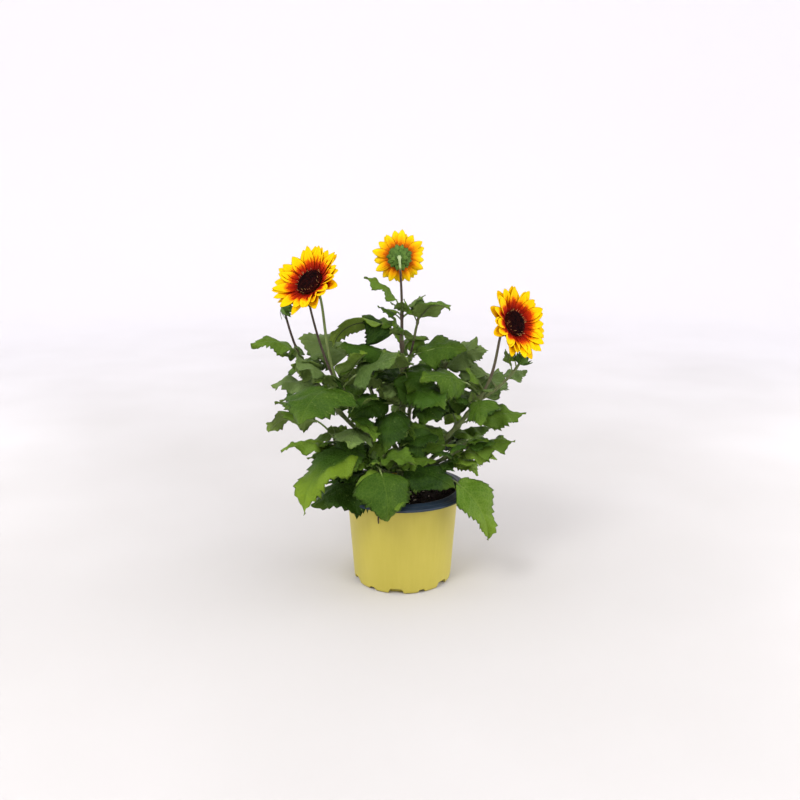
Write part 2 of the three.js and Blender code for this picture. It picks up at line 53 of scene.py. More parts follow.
# The pot and its compost.
RIM_RADIUS = 95
POT_HEIGHT = 138
NECK_RADIUS = 80
NECK_HEIGHT = 135
FOOT_RADIUS = 70.5
FOOT_HEIGHT = 4
WALL = 1.8
NOTCH_PAIRS = 6
NOTCH_WIDE = 22
NOTCH_NARROW = 11
NOTCH_HEIGHT = 8
NOTCH_REACH = 9
FIRST_NOTCH = -97.5
SOIL_EDGE = 126
SOIL_TOP = 129
SOIL_BASE = 118
SOIL_RADIUS = 77.4
SOIL_LEVEL = 14  # the radius of the level middle
SOIL_RINGS = 64
SOIL_SIDES = 180
SOIL_BUMPS = 160
SOIL_GRAINS = 520
PALE_GRAINS = 8  # one grain in so many is pale
POT_SEGMENTS = 432

# The main stem.
STEM_FOOT = np.array([0, 0, 129.3])
STEM_TIP = np.array([0, 8, 236])
STEM_FOOT_RADIUS = 7
STEM_TIP_RADIUS = 4.2
STEM_FLARE = 1.5
KNEE_REACH = 0.62
KNEE_RISE = 0.34

# The camera stands where the photo's did.
VIEWPOINT = np.array([-3.6, -1156.07, 554.23])
CAMERA_TILT = 14.155
LENS = 38.25
SENSOR = 36
PHOTO_PIXELS = 800

# Where the photo shows daylight through the plant: the column and row of its pixel, and
# the radius in millimetres that stays clear.
OPENINGS = [
    [412, 413, 8], [434, 421, 9], [450, 419, 7], [460, 422, 10], [442, 439, 5], [401, 399, 5],
    [382, 406, 4], [422, 364, 9], [468, 358, 8], [361, 380, 9], [340, 349, 7], [390, 343, 10],
    [322, 420, 10], [310, 433, 8],
]

# The floor: where it is level, the radius of its bend and the top of its wall.
FLOOR_REACH = 2400
FLOOR_BEND = 900
FLOOR_TOP = 3200

# The lights, in metres and watts: name, place, height aimed at, size and power.
LIGHTS = [
    ["key", (-0.9, -1.3, 1.9), 0.25, 0.8, 22],
    ["fill", (1.3, -1.2, 1.2), 0.25, 1.0, 8],
    ["left_edge", (-1.7, 0.1, 0.5), 0.2, 1.2, 7],
    ["right_edge", (1.7, 0.1, 0.5), 0.2, 1.2, 10],
]

# Limbs: rings along one, sides, grooves and their depth. The swellings are at the roots of leaves.
LIMB_RINGS = 60
LIMB_SIDES = 16
LIMB_GROOVES = 5
TWIG_SIDES = 12
TWIG_GROOVES = 4
GROOVE_DEPTH = 0.07
SWELLING = 0.3
SWELLING_REACH = 0.025

# Leaves.
PETIOLE_SHARE = 0.4
STALK_BASE = 1.9
STALK_GROWTH = 0.016
BLADE_WIDTH = 0.74
BLADE_SHAPE = [0.45, 1.05]
BLADE_THICKNESS = 0.5
SIDE_VEINS = 7
VEIN_SLANT = 0.8
TOOTH_DEPTH = 0.045
CRUMPLE = 0.013
RIB_HANDLE = 0.34
GOLDEN_SHARE = 0.618
HIGHEST_LEAF = 0.98
LOWEST_LEAF = 0.56
FAN_SPREAD = 150
LOWEST_FILL = 0.3
FILL_LEAVES = 8
FILL_LENGTH = 62
TIP_LEAVES = 5
YOUNG_LENGTHS = [16, 32]
BOX_MARGIN = 3  # how far a small leaf may pass its mass's box
POT_CLEARANCE = [12, 6]  # over the rim and beside it
DAYLIGHT_MARGIN = 0.15  # of a blade's length
CLASHING_LEAF = ("back_right", 1)  # the fanned leaf that would touch a neighbour
LEAF_DETAIL = {"full": (12, 15), "medium": (9, 11), "small": (6, 7)}  # teeth on a side, columns

# Screen colours: what an old blade yellows to, which some blades also take as painted light on their lit
# parts, and each kind of leaf's deep, light and vein colours. The dark kind is darker than a leaf's own
# green, as painted shade for leaves in the plant's shaded inside; the backlit kind is painted light
# shining through a leaf.
YELLOWED_AND_LIT = (112, 138, 34)
LEAF_COLOURS = {
    "dark": [(22, 46, 3), (54, 84, 18), (78, 106, 36)],
    "mid": [(46, 75, 9), (86, 114, 32), (108, 134, 50)],
    "fresh": [(68, 100, 16), (112, 141, 44), (142, 164, 76)],
    "grey": [(60, 84, 30), (100, 122, 64), (126, 146, 90)],
    "backlit": [(110, 142, 40), (156, 182, 80), (184, 200, 116)],
    "under": [(76, 98, 34), (108, 130, 62), (146, 164, 104)],
}
LEAF_SLOTS = {name: i for i, name in enumerate(LEAF_COLOURS)}
ANY_COLOURS = ["dark", "mid", "mid", "fresh", "grey"]
# Filling leaves grow inside the plant, so most take the dark kind: painted shade as well as green.
FILL_COLOURS = ["dark", "dark", "mid"]
YOUNG_COLOURS = ["mid", "fresh", "grey"]

# Blooms and buds.
STALK_RISE = 0.45
NECK_BEND = 0.22
NECK_GAP = 0.3
STALK_FLARE = 1.6
HEAD_DEPTH = 12
BUD_SIDES = 12
RAYS = 17
RAY_WIDTH = 0.4
MORE_RAYS = 16
MORE_RAY_WIDTH = 0.46
RAY_FRONT_COLOURS = [
    (0.0, (84, 8, 2)), (0.25, (136, 16, 2)), (0.44, (184, 46, 2)),
    (0.53, (232, 120, 2)), (0.64, (252, 188, 2)), (1.0, (252, 208, 4)),
]
RAY_BACK_COLOURS = [
    (0.0, (120, 60, 10)), (0.3, (206, 96, 6)), (0.5, (244, 160, 8)),
    (0.8, (252, 206, 14)), (1.0, (254, 220, 20)),
]
DOME_SHARES = [0, 0.5, 0.86, 1.0]
DOME_HEIGHTS = [6.0, 6.2, 5.0, 2.6]

# A leaf's row holds its place on the shoot, heading, pitch, blade length, droop, roll and colour, and
# then the parts of its look that aren't left to chance. Most rows, and the seeds under fill, were
# found by searches against the photo's outlines, not by hand. A foot is a height over the compost on
# the main stem. The shoot without one grows on from the stem's tip. A fan holds a count, a length and
# a seed.
# Colours and tones on some rows are set darker or lighter than a leaf's own green, to match the light and
# shade each leaf shows: painted shade and painted light.
SHOOTS = [
    {
        "name": "crown", "fill": 150, "tip": [-1, 15, 388], "radii": [3.4, 2.0], "tones": [0.3, 0.95],
        "leaves": [
            [0.96, 190, 80, 57, 70, -9, "mid"],
            [0.75, 158, 65, 103, 144, 23, "fresh",
             {"width": 0.66, "age": [0.3, 1.6], "tone": 0.9, "under": "backlit"}],
            [0.6, 51, 67, 48, 80, 25, "mid"],
            [0.72, 156, 63, 56, 59, -14, "dark", {"width": 1.38}],
            [0.62, 191, 30, 69, 34, -11, "dark", {"width": 1.27}],
            [0.56, 349, 50, 72, 70, 35, "mid", {"curl": 0.2, "tone": 0.1}],
            [0.24, 115, 54, 62, 50, -5, "dark"],
            [0.08, 210, 52, 40, 10, 35, "grey"],
            [0.12, 207, 34, 65, 76, -30, "dark"],
            [0.14, 252, 22, 74, 110, 0, "dark"],
            [0.04, 298, 4, 65, 120, 15, "dark"],
            [0.3, 304, 30, 75, 64, 15, "dark"],
            [0.16, 68, 34, 77, 70, -15, "dark"],
            [0.4, 244, 79, 60, 73, 21, "grey", {"tone": 0.7}],
            [0.46, 241, -10, 38, 31, -8, "grey", {"curl": 0.8, "tone": 1.0}],
            [0.51, 289, 21, 52, 167, -15, "dark", {"tone": 0.7}],
        ],
        "twigs": [
            {
                "from": 0.46, "tip": [24, 4, 394], "radii": [1.7, 1.2], "bud": 4.5, "tone": 1.0,
                "leaves": [
                    [0.62, 299, 82, 86, 104, -5, "mid", {"width": 0.67}],
                    [0.82, 172, 66, 27, 14, 10, "mid"],
                    [0.86, 7, 60, 22, 20, 0, "mid"],
                    [0.82, 80, 70, 29, 20, 10, "grey"],
                ],
            },
        ],
    },
    {
        "name": "left", "fill": 88, "foot": 26, "tip": [-90, -14, 292], "radii": [4, 2.8],
        "leaves": [
            [0.89, 245, 43, 95, 99, 1, "mid", {"width": 1.38, "curl": 0.2, "tone": 0.0}],
            [0.94, 159, 43, 66, 24, 25, "grey"],
            [0.94, 324, 45, 87, 30, 30, "grey", {"tone": 0.1}],
            [0.74, 300, 56, 56, 60, 10, "dark"],
            [0.62, 290, 32, 56, 70, -25, "mid"],
            [0.58, 262, 24, 64, 50, -10, "grey", {"width": 1.1, "tone": 1.0}],
            [0.93, 320, 66, 56, 30, 10, "mid", {"age": [0.2, 1.4], "fold": 38, "tone": 0.5}],
        ],
        "twigs": [{"from": 0.9, "tip": [-130, 26, 394], "radii": [2.2, 1.6], "bud": 8, "tone": 0.9}],
    },
    {
        "name": "left_back", "fill": 137, "foot": 40, "tip": [-142, 26, 314], "radii": [3.6, 2.4],
        "leaves": [
            [0.96, 216, 72, 74, 96, -21, "mid", {"width": 0.68, "tone": 0.6}],
            [0.79, 220, 84, 48, 91, 60, "fresh", {"width": 0.9, "tone": 0.9}],
            [0.64, 162, 51, 78, 77, -19, "grey", {"width": 0.7, "tone": 1.0}],
            [0.66, 205, 32, 57, 50, 0, "dark"],
            [0.56, 165, 20, 74, 30, 20, "mid"],
            [0.88, 104, 22, 73, 40, -5, "mid"],
        ],
        "twigs": [
            {"from": 0.95, "tip": [-165, 20, 390], "radii": [1.8, 1.4], "bud": 9, "nod": 130, "tone": 1.0},
        ],
    },
    {
        "name": "left_low", "fill": 50, "foot": 14, "tip": [-96, -6, 208], "radii": [3.6, 2.4],
        "leaves": [
            [1.0, 151, 54, 99, 115, 31, "mid", {"width": 0.72, "tone": 0.9}],
            [0.78, 203, 32, 72, 49, -4, "fresh"],
            [0.82, 113, 24, 80, 66, 0, "mid"],
            [0.84, 284, 30, 63, 70, 10, "dark"],
            [0.6, 35, 4, 50, 40, 0, "dark"],
        ],
    },
    {
        "name": "front_left", "fill": 15, "foot": 5, "tip": [-54, -34, 186], "radii": [3.4, 2.4],
        "leaves": [
            # The blade below has one half painted lighter, as painted light on its lit half, and it
            # yellows from its middle.
            [0.71, 225, 72, 139, 173, -13, "dark",
             {"width": 0.52, "fold": -4, "age": [0.4, 0.8], "tone": 0.4, "painted_lit_half": 1}],
            [0.41, 214, 12, 87, 39, -11, "dark", {"width": 1.38, "teeth_depth": 1.4}],
        ],
    },
    {
        "name": "front", "fill": 65,
        "loose_root": [[-33, -72, 118], [-33.4, -72.2, 112], [-33, -71.6, 107]], "foot": 19,
        "tip": [-38, -56, 186], "radii": [3.2, 2.2], "bud": 8,
        "leaves": [
            [0.99, 288, 18, 75, 130, -2, "mid", {"width": 1.4, "fold": -4, "curl": 0.3, "tone": 0.0}],
            [0.58, 336, 24, 78, 56, 12, "dark", {"width": 1.2, "curl": 0.4, "tone": 0.0}],
            [0.93, 325, 47, 50, 70, 20, "mid", {"fold": 30, "curl": 0.9}],
            [0.88, 242, 20, 44, 70, 20, "fresh"],
            [0.98, 77, 62, 29, 30, 20, "mid"],
        ],
    },
    {
        "name": "front_right", "fill": 77, "foot": 13, "tip": [42, -40, 170], "radii": [3.4, 2.4],
        "leaves": [
            [0.95, 337, 0, 96, 92, 22, "fresh",
             {"width": 0.82, "fold": 14, "tone": 0.0, "age": [0.3, 1.2]}],
            [0.7, 22, 42, 45, 40, -15, "dark"],
        ],
    },
    {
        "name": "right_low", "fill": 138, "foot": 24, "tip": [90, -10, 202], "radii": [3.6, 2.4],
        "leaves": [
            [0.8, 357, 24, 61, 26, 15, "mid", {"tone": 1.0}],
            [0.96, 189, -9, 66, -70, -64, "mid", {"width": 0.75, "fold": 8, "curl": 0.1, "tone": 0.3}],
            [0.6, 345, 5, 40, 16, -10, "fresh"],
            [0.7, 359, 20, 50, 50, 10, "fresh", {"tone": 1.0}],
            [0.84, 60, 24, 70, 60, 35, "fresh"],
        ],
    },
    {
        "name": "right", "fill": 105, "foot": 33, "tip": [114, 0, 276], "radii": [4, 2.8],
        "leaves": [
            [0.63, 365, 28, 72, 39, 22, "mid"],
            [0.95, 211, 50, 81, 60, -35, "mid", {"tone": 0.2}],
            [0.92, 114, 70, 47, 50, -25, "grey", {"tone": 1.0}],
            [0.5, 210, 22, 57, 50, 20, "dark"],
            [0.86, 270, 40, 66, 90, 30, "mid"],
            [0.76, 60, 36, 84, 26, -10, "grey"],
            [0.62, 101, 36, 67, 56, -20, "dark"],
        ],
        "twigs": [
            {
                "from": 0.9, "tip": [163, -4, 318], "radii": [2.2, 1.6], "bud": 9,
                "leaves": [
                    [0.46, 30, 48, 38, 60, 15, "grey"],
                    [0.41, 136, 42, 58, 30, 0, "grey"],
                    [0.77, 209, 80, 27, 20, -10, "fresh"],
                    [0.88, 154, 80, 24, 20, 0],
                ],
            },
        ],
    },
    {
        "name": "right_back", "fill": 2, "foot": 52, "tip": [62, 44, 306], "radii": [3.8, 2.4],
        "leaves": [
            [0.82, 345, 69, 64, 34, 35, "grey", {"tone": 0.9}],
            [0.68, 260, 24, 67, 70, 10, "dark"],
            [0.91, 235, 29, 69, 70, -35, "dark", {"tone": 1.0}],
            [0.98, 13, 37, 50, 40, 30, "grey", {"tone": 1.0}],
            [0.6, 49, 26, 83, 66, 15, "mid"],
            [0.88, 95, 36, 76, 66, 0, "mid"],
        ],
    },
    {
        "name": "back_left", "fill": 78, "foot": 46, "tip": [-56, 58, 300], "radii": [3.8, 2.4],
        "leaves": [
            [0.84, 37, 44, 63, 50, 10, "grey"],
            [0.9, 97, 44, 47, 30, 10, "fresh"],
            [0.98, 172, 40, 78, 36, -35, "grey", {"tone": 1.0}],
            [0.56, 153, 48, 86, 86, -35, "mid"],
            [0.66, 241, 64, 81, 60, 10, "dark"],
            [0.88, 278, 50, 60, 70, 0, "dark"],
        ],
    },
    {
        "name": "back", "fill": 25, "foot": 28, "tip": [12, 96, 236], "radii": [3.8, 2.4],
        "fan": [4, 84, 35],
    },
    {
        "name": "back_right", "fill": 56, "foot": 15, "tip": [80, 58, 200], "radii": [3.6, 2.4],
        "fan": [4, 62, 237],
    },
    {
        "name": "back_low", "fill": 50, "foot": 7, "tip": [-62, 56, 178], "radii": [3.4, 2.4],
        "fan": [6, 78, 66],
    },
]

BLOOMS = [
    {
        "name": "left", "shoot": "left", "face": [-124, -8, 427], "heading": 235, "pitch": 38,
        "disc": 19, "ray": 37, "cup": 28, "tone": 0.4, "pale_from": 0.9, "radii": [2.2, 1.7],
        "blunt": 0.85,
    },
    {
        "name": "centre", "shoot": "crown", "face": [-4.5, 32, 458], "heading": 90, "pitch": -4,
        "disc": 14, "ray": 25, "cup": 26, "tone": 0.95, "pale_from": 0.56, "radii": [1.8, 1.4],
        "blunt": 0.8,
    },
    {
        "name": "right", "shoot": "right", "face": [151, -8, 372], "heading": 312, "pitch": 22,
        "disc": 18, "ray": 36, "cup": 26, "tone": 0.72, "pale_from": 0.9, "radii": [2.2, 1.6],
        "blunt": 0.75,
    },
]


def seeded(seed):
    """The same numbers for the same seed, each from 0 up to 1."""
    state = seed

    def following():
        nonlocal state
        state = state * 48271 % 2147483647
        return state / 2147483647

    return following


def unit(vectors):
    return vectors / np.linalg.norm(vectors, axis=-1, keepdims=True)


def direction(heading, pitch):
    h, p = math.radians(heading), math.radians(pitch)
    return np.array([math.cos(h) * math.cos(p), math.sin(h) * math.cos(p), math.sin(p)])


def bezier(controls, shares):
    """Points of a Bezier curve of any degree at a list of shares of it."""
    shares = np.atleast_1d(np.asarray(shares, float))
    points = np.repeat(np.asarray(controls, float)[None], len(shares), axis=0)
    along = shares[:, None, None]
    while points.shape[1] > 1:
        points = points[:, :-1] * (1 - along) + points[:, 1:] * along
    return points[:, 0]


def tangents(controls, shares):
    return unit(bezier(np.diff(np.asarray(controls, float), axis=0), shares))


def level_side(tangent):
    side = np.cross(UP, tangent)
    if side @ side < 1e-6:
        side = np.array([1.0, 0.0, 0.0])
    return unit(side)


def frames(along, level, roll=0.0):
    """Two directions square to each tangent, the first one nearest to `level`, turned by the roll."""
    side = unit(level - (along @ level)[:, None] * along)
    over = np.cross(along, side)
    turn = np.radians(np.broadcast_to(roll, len(along)))[:, None]
    return side * np.cos(turn) + over * np.sin(turn), over * np.cos(turn) - side * np.sin(turn)


def to_frame(place, axis):
    """The turn that lays +Z along an axis the short way round, and the move to a place."""
    axis = unit(np.asarray(axis, float))
    cross = np.cross(UP, axis)
    skew = np.array([[0, -cross[2], cross[1]], [cross[2], 0, -cross[0]], [-cross[1], cross[0], 0]])
    turn = np.eye(3) + skew + skew @ skew / (1 + UP @ axis)
    return lambda points: np.asarray(points) @ turn.T + np.asarray(place, float)


def shoot_line(foot, tip):
    foot, tip = np.asarray(foot, float), np.asarray(tip, float)
    knee = foot + (tip - foot) * KNEE_REACH
    knee[2] = foot[2] + (tip[2] - foot[2]) * KNEE_RISE
    return np.array([foot, knee, tip])


def rib_line(root, heading, pitch, length, droop):
    """The line of a leaf's stalk and midrib, bending down evenly along its length."""
    half = math.radians(droop) / 2
    chord = length * math.sin(half) / half if half > 1e-3 else length
    tip = root + direction(heading, pitch - droop / 2) * chord
    handle = length * RIB_HANDLE
    leave = root + direction(heading, pitch) * handle
    arrive = tip - direction(heading, pitch - droop) * handle
    return np.array([root, leave, arrive, tip])


def leaf_rib(line, share, heading, pitch, length, droop):
    """The rib of a leaf with its stalk, from its place on a shoot or twig."""
    return rib_line(bezier(line, share)[0], heading, pitch, length * (1 + PETIOLE_SHARE), droop)


def outline(share, rise, fall):
    """An egg-shaped outline: its half width at a share of the length, where 1 is the widest."""
    widest = rise / (rise + fall)
    return share**rise * (1 - share) ** fall / (widest**rise * (1 - widest) ** fall)


def fanned(count, length, seed, outward):
    """Rows of leaves fanned out on a shoot's outer side, lower and larger towards its foot."""
    random = seeded(seed)
    start = random()
    rows = []
    for i in range(count):
        height = (i + 1) / count
        share = LOWEST_LEAF + (HIGHEST_LEAF - LOWEST_LEAF) * height
        turn = FAN_SPREAD * ((start + GOLDEN_SHARE * i) % 1 - 0.5)
        heading = outward + turn + 20 * (random() - 0.5)
        pitch = 5 + 45 * height + 12 * (random() - 0.5)
        size = length * (1.05 - 0.35 * height) * (0.92 + 0.16 * random())
        rows.append([share, heading, pitch, size, 60 + 20 * random(), 20 * (random() - 0.5)])
    return rows


def filling(seed):
    """Rows of smaller leaves set all round a shoot by the golden angle, smaller towards its tip."""
    random = seeded(seed)
    rows = []
    for i in range(FILL_LEAVES):
        height = (i + 0.5) / FILL_LEAVES
        share = LOWEST_FILL + (HIGHEST_LEAF - LOWEST_FILL) * height
        heading = 360 * GOLDEN_SHARE * (seed + i) + 40 * (random() - 0.5)
        pitch = 55 * height + 30 * (random() - 0.5)
        size = FILL_LENGTH * (1.05 - 0.5 * height) * (0.85 + 0.3 * random())
        rows.append([share, heading, pitch, size, 40 + 50 * random(), 50 * (random() - 0.5)])
    return rows


class Batch:
    """Many small closed forms gathered into one piece, with values that its materials read."""

    def __init__(self):
        self.points = []
        self.faces = {4: [np.zeros((0, 4), int)], 3: [np.zeros((0, 3), int)]}
        self.slots = {4: [np.zeros(0, int)], 3: [np.zeros(0, int)]}
        self.values = {"along": [], "across": [], "tone": [], "age": []}
        self.size = 0

    def add(self, points, quads=(), triangles=(), slot=0, **values):
        points = np.asarray(points, float).reshape(-1, 3)
        self.points.append(points)
        for sides, faces in ((4, quads), (3, triangles)):
            if len(faces):
                self.faces[sides].append(np.asarray(faces, int) + self.size)
                self.slots[sides].append(np.broadcast_to(slot, len(faces)))
        for name, kept in self.values.items():
            kept.append(np.broadcast_to(np.ravel(values.get(name, 0.0)), len(points)))
        self.size += len(points)

    def mesh(self, name):
        mesh = bpy.data.meshes.new(name)
        quads, triangles = np.concatenate(self.faces[4]), np.concatenate(self.faces[3])
        starts = [np.arange(len(quads)) * 4, quads.size + np.arange(len(triangles)) * 3]
        starts = np.concatenate(starts).astype(np.int32)
        corners = np.concatenate([quads.ravel(), triangles.ravel()]).astype(np.int32)
        slots = np.concatenate(self.slots[4] + self.slots[3]).astype(np.int32)
        mesh.vertices.add(self.size)
        mesh.vertices.foreach_set("co", (np.concatenate(self.points) * MM).ravel().astype(np.float32))
        mesh.loops.add(len(corners))
        mesh.loops.foreach_set("vertex_index", corners)
        mesh.polygons.add(len(starts))
        mesh.polygons.foreach_set("loop_start", starts)
        mesh.polygons.foreach_set("material_index", slots)
        mesh.polygons.foreach_set("use_smooth", np.ones(len(starts), bool))
        for label, kept in self.values.items():
            layer = mesh.attributes.new(label, "FLOAT", "POINT")
            layer.data.foreach_set("value", np.concatenate(kept).astype(np.float32))
        mesh.update(calc_edges=True)
        mesh.validate()
        return mesh

    def piece(self, name, materials, replaced, slot, sharp=None):
        mesh = self.mesh(name)
        if sharp:
            mesh.set_sharp_from_angle(angle=math.radians(sharp))
        for material in materials:
            mesh.materials.append(material)
        made = add_object(name, mesh)
        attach(made, "root")
        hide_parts(*replaced)


def add_object(name, data):
    made = bpy.data.objects.new(name, data)
    bpy.context.scene.collection.objects.link(made)
    return made


def ring_points(radii, heights, sides):
    """Rings of points round the upright axis, one for each radius and height."""
    angles = 2 * np.pi * np.arange(sides) / sides
    radii, heights = np.reshape(radii, (-1, 1)), np.reshape(heights, (-1, 1))
    return np.stack([radii * np.cos(angles), radii * np.sin(angles), heights + 0 * angles], axis=-1)


def ring_faces(rings, sides):
    """Four-sided faces between rings of points that follow each other."""
    ring, side = np.meshgrid(np.arange(rings - 1), np.arange(sides), indexing="ij")
    here = ring * sides + side
    beside = ring * sides + (side + 1) % sides
    return np.stack([here, beside, beside + sides, here + sides], axis=-1).reshape(-1, 4)


def pole_faces(rings, sides):
    """Triangles that close rings of points with the two poles that follow them."""
    last = (rings - 1) * sides
    triangles = []
    for i in range(sides):
        after = (i + 1) % sides
        triangles.append([rings * sides, after, i])
        triangles.append([rings * sides + 1, last + i, last + after])
    return triangles


def add_tube(batch, centres, radii, sides, flutes=0, depth=0.0, slot=0, tone=0.0, level=None):
    """A closed body of round or fluted section along a line, rounded off at both ends."""
    centres = np.asarray(centres, float)
    radii = np.broadcast_to(np.asarray(radii, float), len(centres))
    along = unit(np.gradient(centres, axis=0))
    ends = [centres[0] - along[0] * radii[0] * 0.5, centres[-1] + along[-1] * radii[-1] * 0.5]
    centres = np.concatenate([[ends[0]], centres, [ends[1]]])
    radii = np.concatenate([[radii[0] * 0.6], radii, [radii[-1] * 0.6]])
    along = np.concatenate([along[:1], along, along[-1:]])
    side, over = frames(along, level_side(along[0]) if level is None else level)
    rings = len(centres)
    angles = 2 * np.pi * np.arange(sides) / sides
    spread = (radii[:, None] * (1 + depth * np.cos(flutes * angles)))[..., None]
    x, y = np.cos(angles)[:, None], np.sin(angles)[:, None]
    points = centres[:, None] + spread * (x * side[:, None] + y * over[:, None])
    poles = [centres[0] - along[0] * radii[0] * 0.4, centres[-1] + along[-1] * radii[-1] * 0.4]
    batch.add(
        np.concatenate([points.reshape(-1, 3), poles]),
        ring_faces(rings, sides),
        pole_faces(rings, sides),
        slot,
        along=np.append(np.repeat(np.linspace(0, 1, rings), sides), [0, 1]),
        across=np.append(np.tile(angles / (2 * np.pi), rings), [0, 0]),
        tone=tone,
    )


def add_sheet(batch, top, under, slots, tone, **values):
    """A thin closed body between two grids of points that share their border."""
    rows, columns = top.shape[:2]
    upper = np.arange(rows * columns).reshape(rows, columns)
    lower = upper.copy()
    inner = np.arange((rows - 2) * (columns - 2)).reshape(rows - 2, columns - 2)
    lower[1:-1, 1:-1] = rows * columns + inner

    def faces(grid):
        corners = [grid[:-1, :-1], grid[1:, :-1], grid[1:, 1:], grid[:-1, 1:]]
        return np.stack(corners, axis=-1).reshape(-1, 4)

    for name, value in values.items():
        grid = np.broadcast_to(value, (rows, columns))
        values[name] = np.append(grid, grid[1:-1, 1:-1])
    quads = np.concatenate([faces(upper), faces(lower)[:, ::-1]])
    points = np.concatenate([top.reshape(-1, 3), under[1:-1, 1:-1].reshape(-1, 3)])
    batch.add(points, quads, slot=np.repeat(slots, len(quads) // 2), tone=tone, **values)


def blade_sides(rib, shares, x, rise, roll, thickness, push=0.0):
    """The upper and under side of a blade, from each point's way beside, over and along its rib."""
    along = tangents(rib, shares)
    side, over = frames(along, level_side(tangents(rib, 0)[0]), roll)
    top = bezier(rib, shares)[:, None] + x[..., None] * side[:, None] + rise[..., None] * over[:, None]
    top = top + np.asarray(push)[..., None] * along[:, None]
    return top, top - thickness * over[:, None]


def add_lathe(batch, section, segments, rule=None):
    """A ring-shaped body turned from a closed section of radius and height."""
    section = np.asarray(section, float)
    points = ring_points(section[:, 0], section[:, 1], segments)
    if rule:
        points = rule(points)
    faces = ring_faces(len(section) + 1, segments) % (len(section) * segments)
    batch.add(points, faces, along=np.repeat(section[:, 1], segments))


class Term:
    """A result in a material's nodes. A sum, difference or product with it adds a node of its own."""

    def __init__(self, shade, socket):
        self.shade = shade
        self.socket = socket

    def __add__(self, other):
        return self.shade.math("ADD", self, other)

    def __sub__(self, other):
        return self.shade.math("SUBTRACT", self, other)

    def __rsub__(self, other):
        return self.shade.math("SUBTRACT", other, self)

    def __mul__(self, other):
        return self.shade.math("MULTIPLY", self, other)

    def __abs__(self):
        return self.shade.math("ABSOLUTE", self)


def linear(colour):
    """A screen colour of 0 to 255 in a shader's linear values. A node's result stays as it is."""
    if isinstance(colour, Term):
        return colour
    shares = [value / 255 for value in colour]
    return (*[s / 12.92 if s < 0.04045 else ((s + 0.055) / 1.055) ** 2.4 for s in shares], 1.0)


class Shade:
    """A node material in the making: each call adds a node and returns its result."""

    def __init__(self, name, roughness, specular, sheen=0.0):
        self.material = bpy.data.materials.new(name)
        self.material.use_nodes = True
        self.tree = self.material.node_tree
        self.tree.nodes.clear()
        self.surface = self.tree.nodes.new("ShaderNodeBsdfPrincipled")
        self.surface.inputs["Roughness"].default_value = roughness
        self.surface.inputs["Sheen Weight"].default_value = sheen
        self.surface.inputs["Specular IOR Level"].default_value = specular
        output = self.tree.nodes.new("ShaderNodeOutputMaterial")
        self.tree.links.new(self.surface.outputs[0], output.inputs[0])
        self.place = self.node("ShaderNodeTexCoord", {}, "Object")

    def join(self, source, target):
        if isinstance(source, Term):
            self.tree.links.new(source.socket, target)
        else:
            target.default_value = source

    def node(self, kind, inputs, output=0, **settings):
        made = self.tree.nodes.new(kind)
        for name, value in settings.items():
            setattr(made, name, value)
        for name, source in inputs.items():
            self.join(source, made.inputs[name])
        return Term(self, made.outputs[output])

    def value(self, name):
        return self.node("ShaderNodeAttribute", {}, "Fac", attribute_name=name)

    def math(self, operation, *terms):
        return self.node("ShaderNodeMath", dict(enumerate(terms)), operation=operation)

    def noise(self, size, detail=3.0, upright=1.0):
        """Soft noise from 0 to 1, in patches of about `size` mm that a low `upright` draws out."""
        place = self.place
        if upright != 1:
            place = self.node("ShaderNodeMapping", {"Vector": place, "Scale": (1, 1, upright)})
        return self.node("ShaderNodeTexNoise", {"Vector": place, "Scale": 1000 / size, "Detail": detail})

    def cells(self, size, feature="F1"):
        inputs = {"Vector": self.place, "Scale": 1000 / size}
        return self.node("ShaderNodeTexVoronoi", inputs, "Distance", feature=feature)

    def ramp(self, value, stops):
        """A colour for a value, from a list of (value, colour)."""
        node = self.tree.nodes.new("ShaderNodeValToRGB")
        self.join(value, node.inputs[0])
        elements = node.color_ramp.elements
        while len(elements) < len(stops):
            elements.new(0.5)
        for element, (position, colour) in zip(elements, stops):
            element.position = position
            element.color = linear(colour)
        return Term(self, node.outputs[0])

    def steps(self, value, low, high):
        """0 below `low`, 1 above `high`, smooth between."""
        inputs = {"Value": value, "From Min": low, "From Max": high}
        return self.node("ShaderNodeMapRange", inputs, interpolation_type="SMOOTHSTEP")

    def mix(self, share, first, second):
        inputs = {0: share, 6: linear(first), 7: linear(second)}
        return self.node("ShaderNodeMix", inputs, 2, data_type="RGBA")

    def finish(self, colour, height, relief, roughness=None):
        """Sets the colour, a bump of `relief` millimetres and the roughness pattern."""
        self.join(colour, self.surface.inputs["Base Color"])
        if roughness is not None:
            self.join(roughness, self.surface.inputs["Roughness"])
        inputs = {"Strength": 1.0, "Distance": relief * MM, "Height": height}
        self.join(self.node("ShaderNodeBump", inputs), self.surface.inputs["Normal"])
        return self.material


def leaf_veins(shade):
    """1 on a blade's midrib and side veins, 0 between them."""
    away = abs(shade.value("across"))
    phase = (shade.value("along") - away * VEIN_SLANT) * 8.0 + shade.noise(12, 1) * 0.25
    side = shade.steps(abs(shade.math("FRACT", phase) - 0.5), 0.32, 0.5)
    return shade.math("MAXIMUM", side * 0.35, 1.0 - shade.steps(away, 0.004, 0.016))


